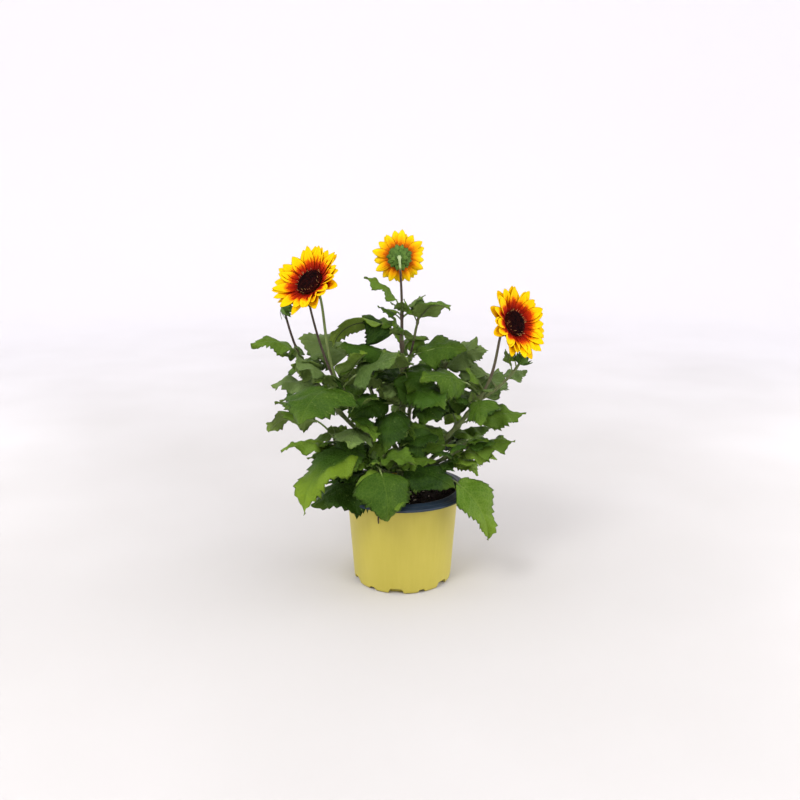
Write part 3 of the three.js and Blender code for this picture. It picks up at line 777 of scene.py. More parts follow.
def make_leaf(kind, deep, light, vein):
    roughness = 0.7 if kind == "under" else 0.55
    shade = Shade("leaf_" + kind, roughness, specular=0.12)
    veins = leaf_veins(shade)
    blotch = shade.noise(22)
    fine = shade.noise(2.2, 2)
    net = 1.0 - shade.steps(shade.cells(4.5, "DISTANCE_TO_EDGE"), 0.0, 0.14)
    tone = shade.value("tone") * 0.7 + blotch * 0.55 + (fine - 0.5) * 0.35
    colour = shade.mix(shade.steps(tone, 0.1, 0.95), deep, light)
    # The yellowing value also carries painted light: the lit half or lit part of some blades.
    colour = shade.mix(shade.value("age"), colour, YELLOWED_AND_LIT)
    colour = shade.mix(veins * 0.22, colour, vein)
    colour = shade.mix(net * 0.16, colour, vein)
    height = shade.cells(2.4) * 0.4 + fine * 0.5 - veins * 0.7 - net * 0.5
    return shade.finish(colour, height, 0.55, blotch * 0.25 + (roughness - 0.12))


def make_stem():
    """Ribbed and hairy: pale green where the tone is 0, olive, then dull purple where it is 1."""
    shade = Shade("stem_ribbed", 0.6, specular=0.25, sheen=0.08)
    streak = shade.noise(3.5, 3, 0.12)
    pale = shade.steps(shade.noise(0.7, 1, 0.5), 0.62, 0.78)
    stops = [(0.0, (168, 186, 132)), (0.25, (118, 138, 70)), (0.5, (92, 104, 56))]
    stops += [(0.75, (84, 72, 58)), (1.0, (58, 42, 38))]
    colour = shade.ramp(shade.value("tone") + streak * 0.5 - 0.25, stops)
    colour = shade.mix(pale * 0.25, colour, (170, 176, 140))
    return shade.finish(colour, streak + pale, 0.2)


def make_bract():
    shade = Shade("bract_green", 0.65, specular=0.2)
    tone = shade.value("tone") * 0.5 + shade.noise(4) * 0.6
    colour = shade.mix(tone, (44, 74, 18), (96, 128, 48))
    tip = shade.steps(shade.value("along"), 0.6, 1.0)
    colour = shade.mix(tip * 0.35, colour, (66, 82, 24))
    return shade.finish(colour, shade.noise(0.8, 2), 0.15)


def make_ray(name, stops):
    """Colour along a petal from its root, with the dark root reaching further down its middle."""
    shade = Shade(name, 0.6, specular=0.04)
    across = abs(shade.value("across"))
    place = shade.value("along") + across * 0.14 + shade.noise(1.6) * 0.3
    colour = shade.ramp(place + shade.value("tone") * 0.1 - 0.2, stops)
    return shade.finish(colour, shade.math("SINE", across * 16.0), 0.2)


def make_floret():
    shade = Shade("disc_florets", 0.85, specular=0.08)
    stops = [(0.0, (14, 4, 8)), (0.7, (24, 5, 8)), (0.9, (42, 8, 6)), (1.0, (70, 16, 6))]
    colour = shade.ramp(shade.value("along") + shade.noise(2, 2) * 0.6 - 0.3, stops)
    return shade.finish(colour, shade.noise(0.5, 2), 0.2)


def make_speckled(name, roughness, patch, dark, light, grain, relief):
    """Two colours in soft patches, over a finer grain."""
    shade = Shade(name, roughness, specular=0.3)
    return shade.finish(shade.mix(shade.noise(*patch), dark, light), shade.noise(grain), relief)


def make_pot_yellow():
    shade = Shade("pot_yellow", 0.42, specular=0.4)
    cloud = shade.noise(60)
    brushed = shade.noise(5, 4, 0.08)
    colour = shade.mix(cloud * 0.6 + brushed * 0.4, (177, 165, 60), (197, 183, 82))
    return shade.finish(colour, shade.noise(1.2, 2) + brushed * 0.6, 0.08, cloud * 0.15 + 0.36)


def make_rim_navy():
    shade = Shade("rim_navy", 0.5, specular=0.4)
    dust = shade.steps(shade.noise(2.2, 4), 0.6, 0.8)
    colour = shade.mix(shade.noise(24), (20, 32, 44), (34, 52, 68))
    colour = shade.mix(dust * 0.35, colour, (96, 104, 104))
    return shade.finish(colour, shade.noise(1.5), 0.1)


def make_compost():
    shade = Shade("compost", 0.95, specular=0.2)
    stops = [(0.25, (14, 9, 7)), (0.55, (34, 22, 16)), (0.8, (66, 46, 34))]
    return shade.finish(shade.ramp(shade.noise(2.5, 5), stops), shade.noise(1.2, 5), 0.8)


def make_floor_pale():
    shade = Shade("floor_pale", 0.9, specular=0.1)
    away = shade.node("ShaderNodeVectorMath", {0: shade.place}, 1, operation="LENGTH")
    # Darker near the plant, where the lamps light the floor most, and paler out on the wall, where less
    # light reaches: painted light that evens out how bright floor and wall look.
    spread = shade.steps(away + shade.noise(400, 2), 0.6, 3.2)
    colour = shade.mix(spread, (206, 203, 201), (247, 245, 248))
    return shade.finish(colour, shade.noise(3, 2), 0.05)


LEAVES = [make_leaf(kind, *colours) for kind, colours in LEAF_COLOURS.items()]
STEM = make_stem()
BRACT = make_bract()
FLORET = make_floret()
POLLEN = make_speckled("pollen", 0.7, (1, 2), (150, 96, 40), (226, 190, 120), 0.3, 0.1)
PALE_GRAIN = make_speckled("pale_grain", 0.85, (1.5, 3), (150, 134, 112), (214, 204, 188), 0.8, 0.3)
RAY_FRONT = make_ray("ray_front", RAY_FRONT_COLOURS)
RAY_BACK = make_ray("ray_back", RAY_BACK_COLOURS)


def leaf_look(random, teeth):
    """What makes one blade differ from the next."""
    return {
        "width": 0.94 + 0.14 * random(),
        "fold": -9 + 26 * (random() - 0.5),
        "curl": 0.3 + 0.7 * random(),
        "wave": 0.03 + 0.045 * random(),
        "phases": [6.3 * random() for _ in range(4)],
        "crumple": [[1 + 2.4 * random(), 5 * (random() - 0.5), 6.3 * random()] for _ in range(4)],
        "teeth_depth": 1.0,
        "twist": 30 * (random() - 0.5),
        "teeth": np.array([[random() ** 1.6, random() ** 1.6] for _ in range(teeth + 1)]),
        "tone": 0.1 + 0.7 * random(),
        "age": [0.75, 1.6],
        "painted_lit_half": 0,
        "under": "under",
    }


def blade_edge(u, v, length, look):
    """How far each point of a blade lies beside its rib, and the part of that which is a tooth."""
    half = BLADE_WIDTH / 2 * length * look["width"] * outline(u, *BLADE_SHAPE)
    lobes = [1 + 0.09 * np.sin(2 * np.pi * 1.7 * u + phase) for phase in look["phases"][2:]]
    half = half[:, None] * np.where(v > 0, lobes[0][:, None], lobes[1][:, None])
    step = np.arange(len(u))
    bite = (0.35 + look["teeth"][step // 3]) * (step % 3 / 2)[:, None]
    bite = bite * np.sin(np.pi * u)[:, None] ** 0.4
    tooth = np.where(v[None] > 0, bite[:, :1], bite[:, 1:]) * np.abs(v) ** 6
    tooth = tooth * length * TOOTH_DEPTH * look["teeth_depth"]
    return v * half + np.sign(v) * tooth, tooth


def blade_rise(u, v, x, length, look):
    """How high each point of a blade lies over its rib: fold, curl, veins, waves and crumples."""
    away = np.abs(x) / length
    veins = np.abs(np.sin(np.pi * SIDE_VEINS * (u[:, None] - VEIN_SLANT * away)))
    quilt = 0.02 * length * veins**0.7 * (1 - np.abs(v) ** 3) * np.clip(away / 0.05, 0, 1)
    groove = 0.01 * length * np.exp(-((away / 0.03) ** 2))
    left, right = [np.sin(2 * np.pi * 2.2 * u[:, None] + phase) for phase in look["phases"][:2]]
    wave = np.where(v < 0, left, 0) + np.where(v > 0, right, 0)
    folds = sum(
        np.sin(2 * np.pi * (lengthwise * u[:, None] + crosswise * x / length) + phase)
        for lengthwise, crosswise, phase in look["crumple"]
    )
    rise = math.tan(math.radians(look["fold"])) * away * length - look["curl"] * x**2 / length
    rise = rise + quilt - groove + look["wave"] * length * v**2 * wave
    return rise + CRUMPLE * length * folds * np.clip(away / 0.1, 0, 1)


def add_blade(batch, rib, start, length, roll, look, slot, teeth, columns):
    """A leaf blade with toothed edges, sunk veins and wavy sides, along a rib from a share of it."""
    u = np.linspace(0.006, 0.996, 3 * teeth + 1)
    v = np.linspace(-1, 1, columns)
    x, tooth = blade_edge(u, v, length, look)
    rise = blade_rise(u, v, x, length, look)
    turn = roll + look["twist"] * (u - 0.2)
    shares = start + (1 - start) * u
    top, under = blade_sides(rib, shares, x, rise, turn, BLADE_THICKNESS, 0.7 * tooth)
    low, high = look["age"]
    # A blade yellows towards its tip. On some rows that set their own span, this yellow is painted light
    # on the blade's lit part. The next line lightens one half of a blade towards the same yellow, as
    # painted light on its lit half.
    age = np.clip((u[:, None] - low) / (high - low), 0, 1)
    age = np.maximum(age, np.clip(5 * (v * look["painted_lit_half"] - 0.3), 0, 0.85))
    slots = [slot, LEAF_SLOTS[look["under"]]]
    add_sheet(batch, top, under, slots, look["tone"], along=u[:, None], across=x / length, age=age)


def add_stalk(limbs, rib, start, length, tone):
    """A leaf's stalk, which goes on under the blade as its midrib."""
    width = STALK_BASE + length * STALK_GROWTH
    under = np.linspace(start, start + (1 - start) * 0.92, 14)
    shares = np.append(np.linspace(0, start, 10), under[1:])
    radii = np.interp(shares, [0, 0.04, start, 1], [0.62, 0.46, 0.36, 0.1]) * width
    along = tangents(rib, shares)
    level = level_side(along[0])
    over = frames(along, level)[1]
    sink = np.clip((shares - start) / 0.08, 0, 1) * (radii + 0.4 + 0.01 * length)
    add_tube(limbs, bezier(rib, shares) - over * sink[:, None], radii, 7, tone=tone, level=level)


def add_bracts(batch, move, rings, random, scale=1.0):
    """Rings of pointed bracts: each ring's count, radius, height, rise, length, width and droop."""
    u = np.linspace(0.02, 0.995, 8)
    v = np.linspace(-1, 1, 5)
    for count, radius, height, rise, length, width, droop in rings:
        radius, height, length, width = np.array([radius, height, length, width]) * scale
        start = random()
        x = v * (width / 2 * np.clip(outline(u, 0.35, 0.9), 0.05, 1))[:, None]
        for i in range(count):
            around = 360 * (i + start + 0.3 * (random() - 0.5)) / count
            root = direction(around, 0) * radius + UP * height
            size = length * (0.85 + 0.3 * random())
            rib = rib_line(root, around, rise + 16 * (random() - 0.5), size, droop)
            top, under = blade_sides(rib, u, x, -0.35 * x**2 / width, 0.0, 0.5)
            add_sheet(batch, move(top), move(under), [0, 0], random(), along=u[:, None], across=v)


def add_bud(batch, centre, axis, radius, random):
    """A closed bud: a green egg wrapped in pointed bracts."""
    move = to_frame(centre, axis)
    levels = np.linspace(-1, 1, 9)[1:-1]
    egg = ring_points(radius * np.sqrt(1 - levels**2), radius * 0.85 * levels, BUD_SIDES)
    egg = np.concatenate([egg.reshape(-1, 3), [-0.85 * radius * UP, 0.85 * radius * UP]])
    shape = (len(levels), BUD_SIDES)
    batch.add(move(egg), ring_faces(*shape), pole_faces(*shape), tone=0.4)
    rings = [
        (7, 0.75, -0.45, 78, 1.5, 0.75, -40),
        (7, 0.7, -0.55, 62, 1.7, 0.75, 10),
        (6, 0.5, -0.7, 30, 1.7, 0.7, -20),
    ]
    add_bracts(batch, move, rings, random, radius)


def in_box(rib, node):
    low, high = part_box(node)
    points = bezier(rib, np.linspace(0, 1, 7))
    above = points > np.array(low) / MM - BOX_MARGIN
    below = points < np.array(high) / MM + BOX_MARGIN
    return bool(above.all() and below.all())


def clear_of_pot(rib):
    points = bezier(rib, np.linspace(0.2, 1, 9))
    over, beside = POT_CLEARANCE
    away = np.hypot(points[:, 0], points[:, 1])
    return not ((points[:, 2] < POT_HEIGHT + over) & (away < RIM_RADIUS + beside)).any()


def opening_place(column, row):
    """Where a pixel of the photo lies on the plane y = 0, in whole millimetres."""
    focal, middle = PHOTO_PIXELS * LENS / SENSOR, PHOTO_PIXELS / 2
    across, up = (column - middle) / focal, (middle - row) / focal
    tilt = math.radians(CAMERA_TILT)
    forward, rise = math.cos(tilt) + up * math.sin(tilt), up * math.cos(tilt) - math.sin(tilt)
    place = VIEWPOINT - np.array([across, forward, rise]) * VIEWPOINT[1] / forward
    return round(place[0]), round(place[2])


def clear_of_openings(rib, length):
    """Whether a blade stays out of the openings, seen from the photo's viewpoint."""
    points = bezier(rib, np.linspace(0.3, 1, 9))
    reach = -VIEWPOINT[1] / (points[:, 1] - VIEWPOINT[1])
    seen = VIEWPOINT + (points - VIEWPOINT) * reach[:, None]
    for column, row, radius in OPENINGS:
        x, z = opening_place(column, row)
        if (np.hypot(seen[:, 0] - x, seen[:, 2] - z) < radius + DAYLIGHT_MARGIN * length).any():
            return False
    return True


class Growth:
    """What grows on one shoot: its limbs, leaves and buds, and the random numbers they draw."""

    def __init__(self, name, number):
        self.node = "leaves_" + name
        self.random = seeded(9001 + 17 * number)
        self.limbs, self.leaves, self.buds = Batch(), Batch(), Batch()

    def pick(self, choices):
        return choices[int(len(choices) * self.random())]

    def add_limb(self, line, radii, rows, sides, grooves, tone):
        """A grooved limb with a swelling at each leaf's root."""
        shares = np.linspace(0, 1, LIMB_RINGS)
        radius = radii[0] + (radii[1] - radii[0]) * shares
        for row in rows:
            radius = radius * (1 + SWELLING * np.exp(-(((shares - row[0]) / SWELLING_REACH) ** 2)))
        add_tube(self.limbs, bezier(line, shares), radius, sides, grooves, GROOVE_DEPTH, tone=tone)

    def add_leaf(self, rib, length, roll, colour, detail, own=None):
        start = PETIOLE_SHARE / (1 + PETIOLE_SHARE)
        teeth, columns = LEAF_DETAIL[detail]
        look = leaf_look(self.random, teeth)
        look.update(own or {})
        add_blade(self.leaves, rib, start, length, roll, look, LEAF_SLOTS[colour], teeth, columns)
        add_stalk(self.limbs, rib, start, length, 0.2 + 0.35 * self.random())

    def add_young_leaves(self, line, rows):
        """Small leaves in the axils of the large ones and round the shoot's tip."""
        random = self.random
        young = []
        for share, heading, pitch, length, *_ in rows:
            young.append([share, heading + 60 * (random() - 0.5), min(80, pitch + 25), length * 0.32])
        for i in range(TIP_LEAVES):
            share, heading = 0.9 + 0.1 * random(), 360 * (random() + GOLDEN_SHARE * i)
            young.append([share, heading, 35 + 40 * random(), 20 + 14 * random()])
        for share, heading, pitch, length in young:
            length = float(np.clip(length, *YOUNG_LENGTHS))
            rib = leaf_rib(line, share, heading, pitch, length, 20 + 50 * random())
            if in_box(rib, self.node) and clear_of_openings(rib, length):
                colour = self.pick(YOUNG_COLOURS)
                self.add_leaf(rib, length, 30 * (random() - 0.5), colour, "small")

    def add_filling_leaves(self, line, seed):
        for share, heading, pitch, length, droop, roll in filling(seed):
            rib = leaf_rib(line, share, heading, pitch, length, droop)
            if in_box(rib, self.node) and clear_of_pot(rib) and clear_of_openings(rib, length):
                self.add_leaf(rib, length, roll, self.pick(FILL_COLOURS), "medium")

    def add_main_leaves(self, line, rows):
        for row in rows:
            share, heading, pitch, length, droop, roll = row[:6]
            rib = leaf_rib(line, share, heading, pitch, length, droop)
            colour = row[6] if len(row) > 6 else self.pick(ANY_COLOURS)
            self.add_leaf(rib, length, roll, colour, "full", row[7] if len(row) > 7 else None)

    def add_twig(self, line, twig):
        """A twig with the bud at its end, which may nod. Gives the twig's line."""
        line = shoot_line(bezier(line, twig["from"])[0], twig["tip"])
        rows = twig.get("leaves", [])
        self.add_limb(line, twig["radii"], rows, TWIG_SIDES, TWIG_GROOVES, twig.get("tone", 0.55))
        end = tangents(line, 1)[0]
        nod = math.radians(twig.get("nod", 0))
        axis = end * math.cos(nod) - np.cross(level_side(end), end) * math.sin(nod)
        add_bud(self.buds, line[2] + axis * 0.4 * twig["bud"], axis, twig["bud"], self.random)
        return line


def shoot_foot(shoot):
    """Where a shoot leaves the main stem: at its height over the compost, or at the stem's tip."""
    if "foot" not in shoot:
        return STEM_TIP
    share = (shoot["foot"] + SOIL_TOP - STEM_FOOT[2]) / (STEM_TIP[2] - STEM_FOOT[2])
    return STEM_FOOT + (STEM_TIP - STEM_FOOT) * share


def main_rows(shoot, line):
    """The rows of a shoot's main leaves: its own, or a fan of them."""
    if "fan" not in shoot:
        return shoot["leaves"]
    span = line[2] - line[0]
    rows = fanned(*shoot["fan"], math.degrees(math.atan2(span[1], span[0])))
    return [row for i, row in enumerate(rows) if (shoot["name"], i) != CLASHING_LEAF]


def grow_shoot(shoot, number):
    """One shoot with its stem, twigs, leaves and buds, as three pieces. Gives the shoot's line."""
    name = shoot["name"]
    growth = Growth(name, number)
    line = shoot_line(shoot_foot(shoot), shoot["tip"])
    rows = main_rows(shoot, line)
    tones = np.linspace(*shoot.get("tones", [0.42, 0.55]), LIMB_RINGS + 2)
    tones = np.append(np.repeat(tones, LIMB_SIDES), [0.5, 0.5])
    growth.add_limb(line, shoot["radii"], rows, LIMB_SIDES, LIMB_GROOVES, tones)
    growth.add_young_leaves(line, rows)
    if "loose_root" in shoot:
        add_tube(growth.limbs, shoot["loose_root"], [1.3, 1.0, 0.8], 8, tone=1.0)
    if "bud" in shoot:
        add_bud(growth.buds, line[2], tangents(line, 1)[0], shoot["bud"], growth.random)
    twigs = shoot.get("twigs", [])
    twig_lines = [growth.add_twig(line, twig) for twig in twigs]
    growth.add_filling_leaves(line, shoot["fill"])
    growth.add_main_leaves(line, rows)
    for twig, twig_line in zip(twigs, twig_lines):
        growth.add_main_leaves(twig_line, twig.get("leaves", []))
    bough = ["bough_" + name] if "foot" in shoot else []
    growth.limbs.piece("limbs_" + name, [STEM], [*bough, growth.node], "stem")
    growth.leaves.piece("foliage_" + name, LEAVES, [growth.node], "leaves")
    if growth.buds.size:
        growth.buds.piece("buds_" + name, [BRACT], [growth.node], "calyx")
    return line


def make_main_stem():
    """The main stem, flared at the compost and a little swollen where each bough leaves it."""
    batch = Batch()
    shares = np.linspace(0.004, 1, 70)
    radii = STEM_FOOT_RADIUS + (STEM_TIP_RADIUS - STEM_FOOT_RADIUS) * shares
    radii = radii * (1 + (STEM_FLARE - 1) * np.clip(1 - 9 * shares, 0, 1) ** 2)
    for shoot in SHOOTS:
        if "foot" in shoot:
            joint = shoot["foot"] / (STEM_TIP[2] - STEM_FOOT[2])
            radii = radii * (1 + 0.08 * np.exp(-(((shares - joint) / 0.03) ** 2)))
    centres = STEM_FOOT + (STEM_TIP - STEM_FOOT) * shares[:, None]
    add_tube(batch, centres, radii, 32, flutes=9, depth=0.04, tone=0.45)
    batch.piece("stem_main", [STEM], ["main_stem"], "stem")


def bloom_axis(bloom):
    return direction(bloom["heading"], bloom["pitch"])


def make_bloom_stalk(bloom, line):
    """The stalk from a shoot's tip to the back of its bloom, paler under the head."""
    axis = bloom_axis(bloom)
    neck = np.array(bloom["face"]) - axis * (HEAD_DEPTH + NECK_GAP)
    foot, rise = line[2], tangents(line, 1)[0]
    reach = np.linalg.norm(neck - foot)
    controls = [foot, foot + rise * reach * STALK_RISE, neck - axis * reach * NECK_BEND, neck]
    shares = np.linspace(0, 1, LIMB_RINGS)
    thick, thin = bloom["radii"]
    radii = thick + (thin - thick) * shares + STALK_FLARE * np.clip(shares * 4 - 3, 0, 1) ** 1.5
    fade = np.clip((np.linspace(0, 1, LIMB_RINGS + 2) - bloom["pale_from"]) / 0.08, 0, 1)
    tone = np.repeat(bloom["tone"] + (0.02 - bloom["tone"]) * fade, LIMB_SIDES)
    tone = np.append(tone, [0.7, 0.1])
    batch = Batch()
    add_tube(batch, bezier(controls, shares), radii, LIMB_SIDES, 6, 0.05, tone=tone)
    batch.piece("stalk_ribbed_" + bloom["name"], [STEM], ["stalk_" + bloom["name"]], "stalk")


def make_calyx(bloom, number):
    """The green cup behind a bloom, wrapped in rows of pointed bracts."""
    move = to_frame(bloom["face"], bloom_axis(bloom))
    disc = bloom["disc"]
    batch = Batch()
    section = [[0.01, -HEAD_DEPTH], [3.4, -HEAD_DEPTH]]
    section += [[disc * 0.5, -HEAD_DEPTH * 0.86], [disc * 0.82, -HEAD_DEPTH * 0.6]]
    section += [[disc, -3.4], [disc + 1, -2], [disc, -1.4], [0.01, -1.4]]
    add_lathe(batch, section, 40, move)
    rings = [
        (14, disc * 0.76, -5.8, 6, disc * 0.5, disc * 0.52, 8),
        (12, disc * 0.62, -8.0, 14, disc * 0.68, disc * 0.54, -6),
        (9, disc * 0.34, -10.4, 14, disc * 0.62, disc * 0.5, -10),
    ]
    add_bracts(batch, move, rings, seeded(801 + number))
    batch.piece("bracts_" + bloom["name"], [BRACT], ["calyx_" + bloom["name"]], "calyx")


def add_ray(batch, move, rib, width, roll, blunt, random):
    """A petal: pointed, with two lengthwise grooves and a slight twist, closed and thin."""
    u = np.linspace(0.01, 0.995, 22)
    v = np.linspace(-1, 1, 9)
    twist = roll + 30 * (random() - 0.5) * u
    x = v * (width / 2 * outline(u, 0.62, blunt * 0.9))[:, None]
    fold = (0.2 + 0.35 * random()) * np.abs(x) - 0.12 * width
    rise = (fold + 0.035 * width * np.cos(3 * np.pi * v)) * np.sin(np.pi * u)[:, None]
    top, under = blade_sides(rib, u, x, rise, twist, 0.45)
    add_sheet(batch, move(top), move(under), [0, 1], random(), along=u[:, None], across=v)


def make_rays(bloom, number):
    """The ring of petals: the source's seventeen, and others between them."""
    random = seeded(101 + number)
    looks = seeded(501 + number)
    move = to_frame(bloom["face"], bloom_axis(bloom))
    batch = Batch()
    disc, ray, cup, blunt = bloom["disc"], bloom["ray"], bloom["cup"], bloom["blunt"]
    for i in range(RAYS):
        outer = i % 2
        length = ray * (0.92 + 0.16 * random())
        around = 360 / RAYS * (i + 0.4 * random())
        root = direction(around, 0) * (disc - 1) + UP * (0 if outer else 0.6)
        rise = cup + (-7 if outer else 5) + 4 * (random() - 0.5)
        rib = rib_line(root, around, rise, length, 14 + 6 * random())
        roll = 6 * (random() - 0.5)
        add_ray(batch, move, rib, RAY_WIDTH * length * 1.22, roll, blunt, looks)
    for i in range(MORE_RAYS):
        around = 360 * (i + 0.3 + 0.5 * looks()) / MORE_RAYS
        root = direction(around, 0) * (disc - 1.5) + UP
        length = ray * (0.88 + 0.16 * looks())
        rib = rib_line(root, around, cup + 2 + 8 * looks(), length, 16)
        add_ray(batch, move, rib, MORE_RAY_WIDTH * ray, 10 * looks() - 5, blunt, looks)
    batch.piece("petals_" + bloom["name"], [RAY_FRONT, RAY_BACK], ["rays_" + bloom["name"]], "rays")


def dome(share):
    return np.interp(share, DOME_SHARES, DOME_HEIGHTS)


def add_floret(batch, move, centre, axis, radius, height, along):
    """A small blunt six-sided floret."""
    turn = to_frame(centre, axis)
    rings = ring_points(radius * np.array([0.9, 1, 0.7]), height * np.array([-0.4, 0.3, 0.8]), 6)
    points = np.concatenate([rings.reshape(-1, 3), [height * 0.75 * UP]])
    triangles = [[18, 12 + i, 12 + (i + 1) % 6] for i in range(6)]
    batch.add(move(turn(points)), ring_faces(3, 6), triangles, along=along)


def make_disc(bloom, number):
    """The domed disc: florets in the golden spiral, the outer ones open with pollen."""
    random = seeded(701 + number)
    move = to_frame(bloom["face"], bloom_axis(bloom))
    disc = bloom["disc"]
    batch = Batch()
    section = [[0.01, 2.1], [disc - 1, 2.1]]
    section += [[disc * share, dome(share) - 0.6] for share in (0.98, 0.86, 0.7, 0.5, 0.25)]
    section += [[0.01, dome(0) - 0.6]]
    add_lathe(batch, section, 48, move)
    count = int(0.9 * disc * disc)
    for i in range(count):
        share = math.sqrt((i + 0.5) / count)
        out = direction(360 * GOLDEN_SHARE * i, 0)
        slope = (dome(min(1, share + 0.02)) - dome(share - 0.02)) / (0.04 * disc)
        centre = out * disc * share * 0.98 + UP * (dome(share) - 0.4)
        axis = unit(UP - out * slope * 0.8)
        radius = 0.62 + 0.2 * random()
        add_floret(batch, move, centre, axis, radius, 1.0 + 0.8 * random() + 0.5 * share, share**3)
        if share > 0.76 and random() < 0.16:
            lean = unit(axis + 0.5 * direction(360 * random(), 0))
            t = np.linspace(0, 1, 5)[:, None]
            hook = centre + axis * (0.8 + 2.2 * t) + lean * t**2 * 1.6
            add_tube(batch, move(hook), 0.2, 5, slot=1)
    batch.piece("florets_" + bloom["name"], [FLORET, POLLEN], ["disc_" + bloom["name"]], "disc")


def notched(points):
    """Lifts the edge of the foot over each drain notch."""
    x, y, lifted = points[..., 0], points[..., 1], points[..., 2]
    edge = np.hypot(x, y) > FOOT_RADIUS - NOTCH_REACH
    for i in range(2 * NOTCH_PAIRS):
        width = NOTCH_NARROW if i % 2 else NOTCH_WIDE
        height = NOTCH_HEIGHT * (0.6 if i % 2 else 1)
        turn = math.radians(FIRST_NOTCH + 180 / NOTCH_PAIRS * i)
        out = x * math.cos(turn) + y * math.sin(turn)
        aside = np.abs(y * math.cos(turn) - x * math.sin(turn))
        arch = height * np.clip((width / 2 - aside) / (width / 6), 0, 1) ** 0.6
        inside = edge & (out > 0) & (aside < width / 2)
        lifted = np.where(inside & (lifted < arch), arch, lifted)
    return np.stack([x, y, lifted], axis=-1)


def wall(height):
    """The radius of the pot's wall."""
    share = (height - FOOT_HEIGHT) / (NECK_HEIGHT - FOOT_HEIGHT)
    return FOOT_RADIUS + (NECK_RADIUS - FOOT_RADIUS) * share


def make_pot():
    """The pot's wall and foot. Its upper points start from the wall's radius at a height near theirs."""
    batch = Batch()
    foot = [(-9.2, 0), (-8.8, 0.1), (-4, 0), (-1.6, 0.5), (-0.4, 1.8), (0, FOOT_HEIGHT)]
    neck = [(130, 0.5, 129.5), (130, 0.7, 130.6), (131, 0.4, 132), (131, -0.6, 132.6)]
    inside = [(128, -WALL, 128), (60, -WALL, 60), (8, -WALL, 9)]
    section = [[0.01, 0]] + [[FOOT_RADIUS + out, z] for out, z in foot]
    section += [[wall(z), z] for z in (5, 6, 7, 9, 20, 45, 70, 95, 115, 127)]
    section += [[wall(z) + out, height] for z, out, height in neck + inside]
    section += [[FOOT_RADIUS - WALL - 2, 7], [0.01, 6.8]]
    add_lathe(batch, section, POT_SEGMENTS, notched)
    batch.piece("pot_wall", [make_pot_yellow()], ["pot"], "pot", sharp=50)


def make_rim():
    """The turned-out rim: its section is given from its inner side, then from its outer edge."""
    rim = Batch()
    inner = NECK_RADIUS - WALL
    face = [(-1, 112), (-0.1, 134), (0.6, 136.8), (1.8, 137.8), (3.4, POT_HEIGHT), (4.6, 137.2)]
    steps = [(5.2, 136.9), (8.6, 136.3), (9, 135.8), (9.5, 136), (12.6, 135.3), (13, 134.9), (13.4, 135.1)]
    lip = [(1, 134.4), (0.2, 133.7), (0, 132.8), (0, 131.2), (0.8, 130.9), (1.6, 131.6), (2.4, 132.6)]
    section = [[inner + out, z] for out, z in face + steps]
    section += [[RIM_RADIUS - back, z] for back, z in lip]
    section += [[inner + out, z] for out, z in [(3.2, 134.4), (1.4, 132), (0, 112)]]
    add_lathe(rim, section, POT_SEGMENTS)
    rim.piece("pot_rim", [make_rim_navy()], ["pot"], "pot", sharp=50)


def add_lump(batch, centre, size, random):
    """A rough grain: a small ball with its points pushed in and out."""
    ball = np.concatenate([ring_points([0.8, 0.8], [-0.5, 0.5], 6).reshape(-1, 3), [-UP, UP]]) * size
    points = ball * [[0.7 + 0.6 * random()] for _ in ball] + centre
    batch.add(points, ring_faces(2, 6), pole_faces(2, 6))


def make_soil():
    """The compost's uneven surface, with rough grains over it, and pale ones as a piece of their own."""
    random = seeded(61)
    bumps = []
    for _ in range(SOIL_BUMPS):
        x, y = SOIL_RADIUS * (random() * 2 - 1), SOIL_RADIUS * (random() * 2 - 1)
        bumps.append((x, y, 4 + 7 * random(), 1.6 * random() - 0.7))

    def surface(x, y):
        out = (np.hypot(x, y) - SOIL_LEVEL) / (SOIL_RADIUS - SOIL_LEVEL)
        height = SOIL_TOP - (SOIL_TOP - SOIL_EDGE) * np.clip(out, 0, 1)
        for middle_x, middle_y, spread, tall in bumps:
            away = (x - middle_x) ** 2 + (y - middle_y) ** 2
            height = height + tall * np.exp(-away / spread**2)
        return height - 1.2

    batch, grains = Batch(), Batch()
    radii = np.linspace(0.01, SOIL_RADIUS, SOIL_RINGS)
    top = ring_points(radii, 0 * radii, SOIL_SIDES)
    rough = np.array([[random() for _ in range(SOIL_SIDES)] for _ in radii]) * 0.9
    top[..., 2] = surface(top[..., 0], top[..., 1]) + rough
    base = ring_points([SOIL_RADIUS, 0.01], [SOIL_BASE, SOIL_BASE], SOIL_SIDES)
    base[0, :, 0] *= 1 - 0.1 / SOIL_RADIUS  # drawn in a little under the surface
    rings = np.concatenate([top, base])
    batch.add(rings, ring_faces(len(rings) + 1, SOIL_SIDES) % (len(rings) * SOIL_SIDES))
    for i in range(SOIL_GRAINS):
        away, around = SOIL_RADIUS * math.sqrt(random()) * 0.98, 2 * np.pi * random()
        x, y = away * math.cos(around), away * math.sin(around)
        pale = i % PALE_GRAINS == 0
        size = 0.7 + 0.9 * random() if pale else 0.8 + 1.5 * random()
        centre = np.array([x, y, surface(x, y) + 0.4 + 0.3 * size])
        add_lump(grains if pale else batch, centre, size, random)
    batch.piece("compost_top", [make_compost()], ["soil"], "soil")
    grains.piece("pale_grains", [PALE_GRAIN], ["soil"], "soil")


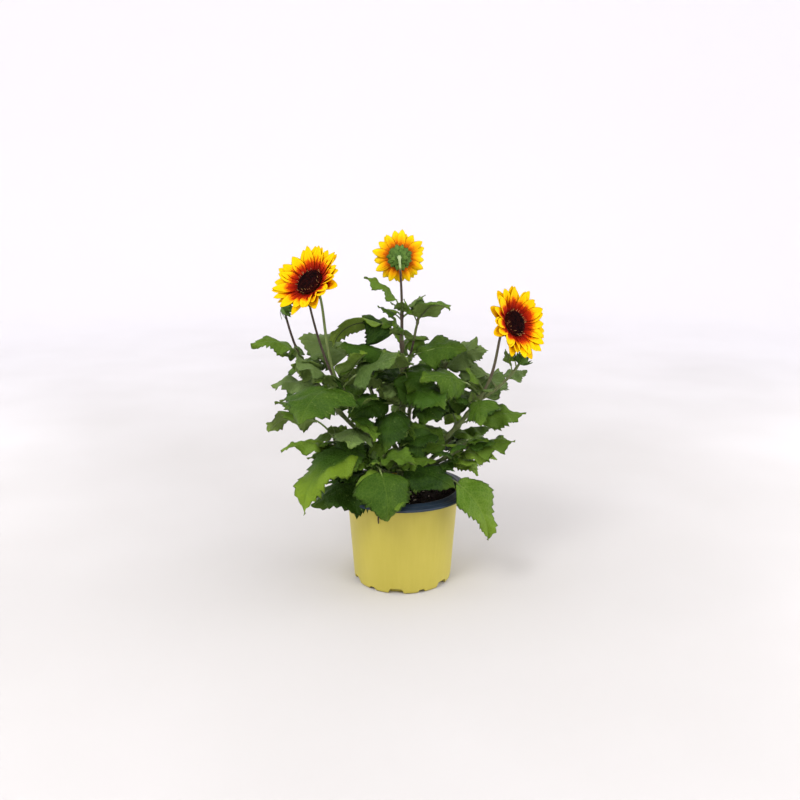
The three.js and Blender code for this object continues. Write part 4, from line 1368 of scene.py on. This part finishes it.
def make_stage():
    """A pale floor that curves up into a wall all round, far from the plant."""
    angles = np.linspace(0.1, np.pi / 2, 14)
    radii = [0, 10, FLOOR_REACH, *(FLOOR_REACH + FLOOR_BEND * np.sin(angles)), FLOOR_REACH + FLOOR_BEND]
    heights = [0, 0, 0, *(FLOOR_BEND - FLOOR_BEND * np.cos(angles)), FLOOR_TOP]
    rings = ring_points(radii, np.array(heights) - 0.2, 96)
    mesh = bpy.data.meshes.new("floor")
    mesh.from_pydata((rings.reshape(-1, 3) * MM).tolist(), [], ring_faces(len(rings), 96).tolist())
    mesh.polygons.foreach_set("use_smooth", [True] * len(mesh.polygons))
    mesh.materials.append(make_floor_pale())
    add_object("floor", mesh)


def make_light():
    world = bpy.data.worlds.new("studio")
    world.use_nodes = True
    back = world.node_tree.nodes["Background"]
    back.inputs[0].default_value = (1.0, 0.995, 1.0, 1.0)
    back.inputs[1].default_value = 1.0
    bpy.context.scene.world = world
    bpy.context.scene.view_settings.view_transform = "Standard"
    for name, place, height, size, power in LIGHTS:
        data = bpy.data.lights.new(name, "AREA")
        data.shape = "DISK"
        data.size = size
        data.energy = power
        toward = np.array([0, 0, height]) - place
        pitch = math.acos(-toward[2] / np.linalg.norm(toward))
        light = add_object(name, data)
        light.location = place
        light.rotation_euler = (pitch, 0, math.atan2(toward[1], toward[0]) - math.pi / 2)


def make_camera():
    data = bpy.data.cameras.new("camera")
    data.lens = LENS
    data.sensor_width = SENSOR
    camera = add_object("camera", data)
    camera.location = VIEWPOINT * MM
    camera.rotation_euler = (math.radians(90 - CAMERA_TILT), 0, 0)
    bpy.context.scene.camera = camera


make_camera()
make_light()
make_stage()
make_pot()
make_rim()
make_soil()
make_main_stem()
lines = {}
for number, shoot in enumerate(SHOOTS):
    lines[shoot["name"]] = grow_shoot(shoot, number)
for number, bloom in enumerate(BLOOMS):
    make_bloom_stalk(bloom, lines[bloom["shoot"]])
    make_calyx(bloom, number)
    make_rays(bloom, number)
    make_disc(bloom, number)
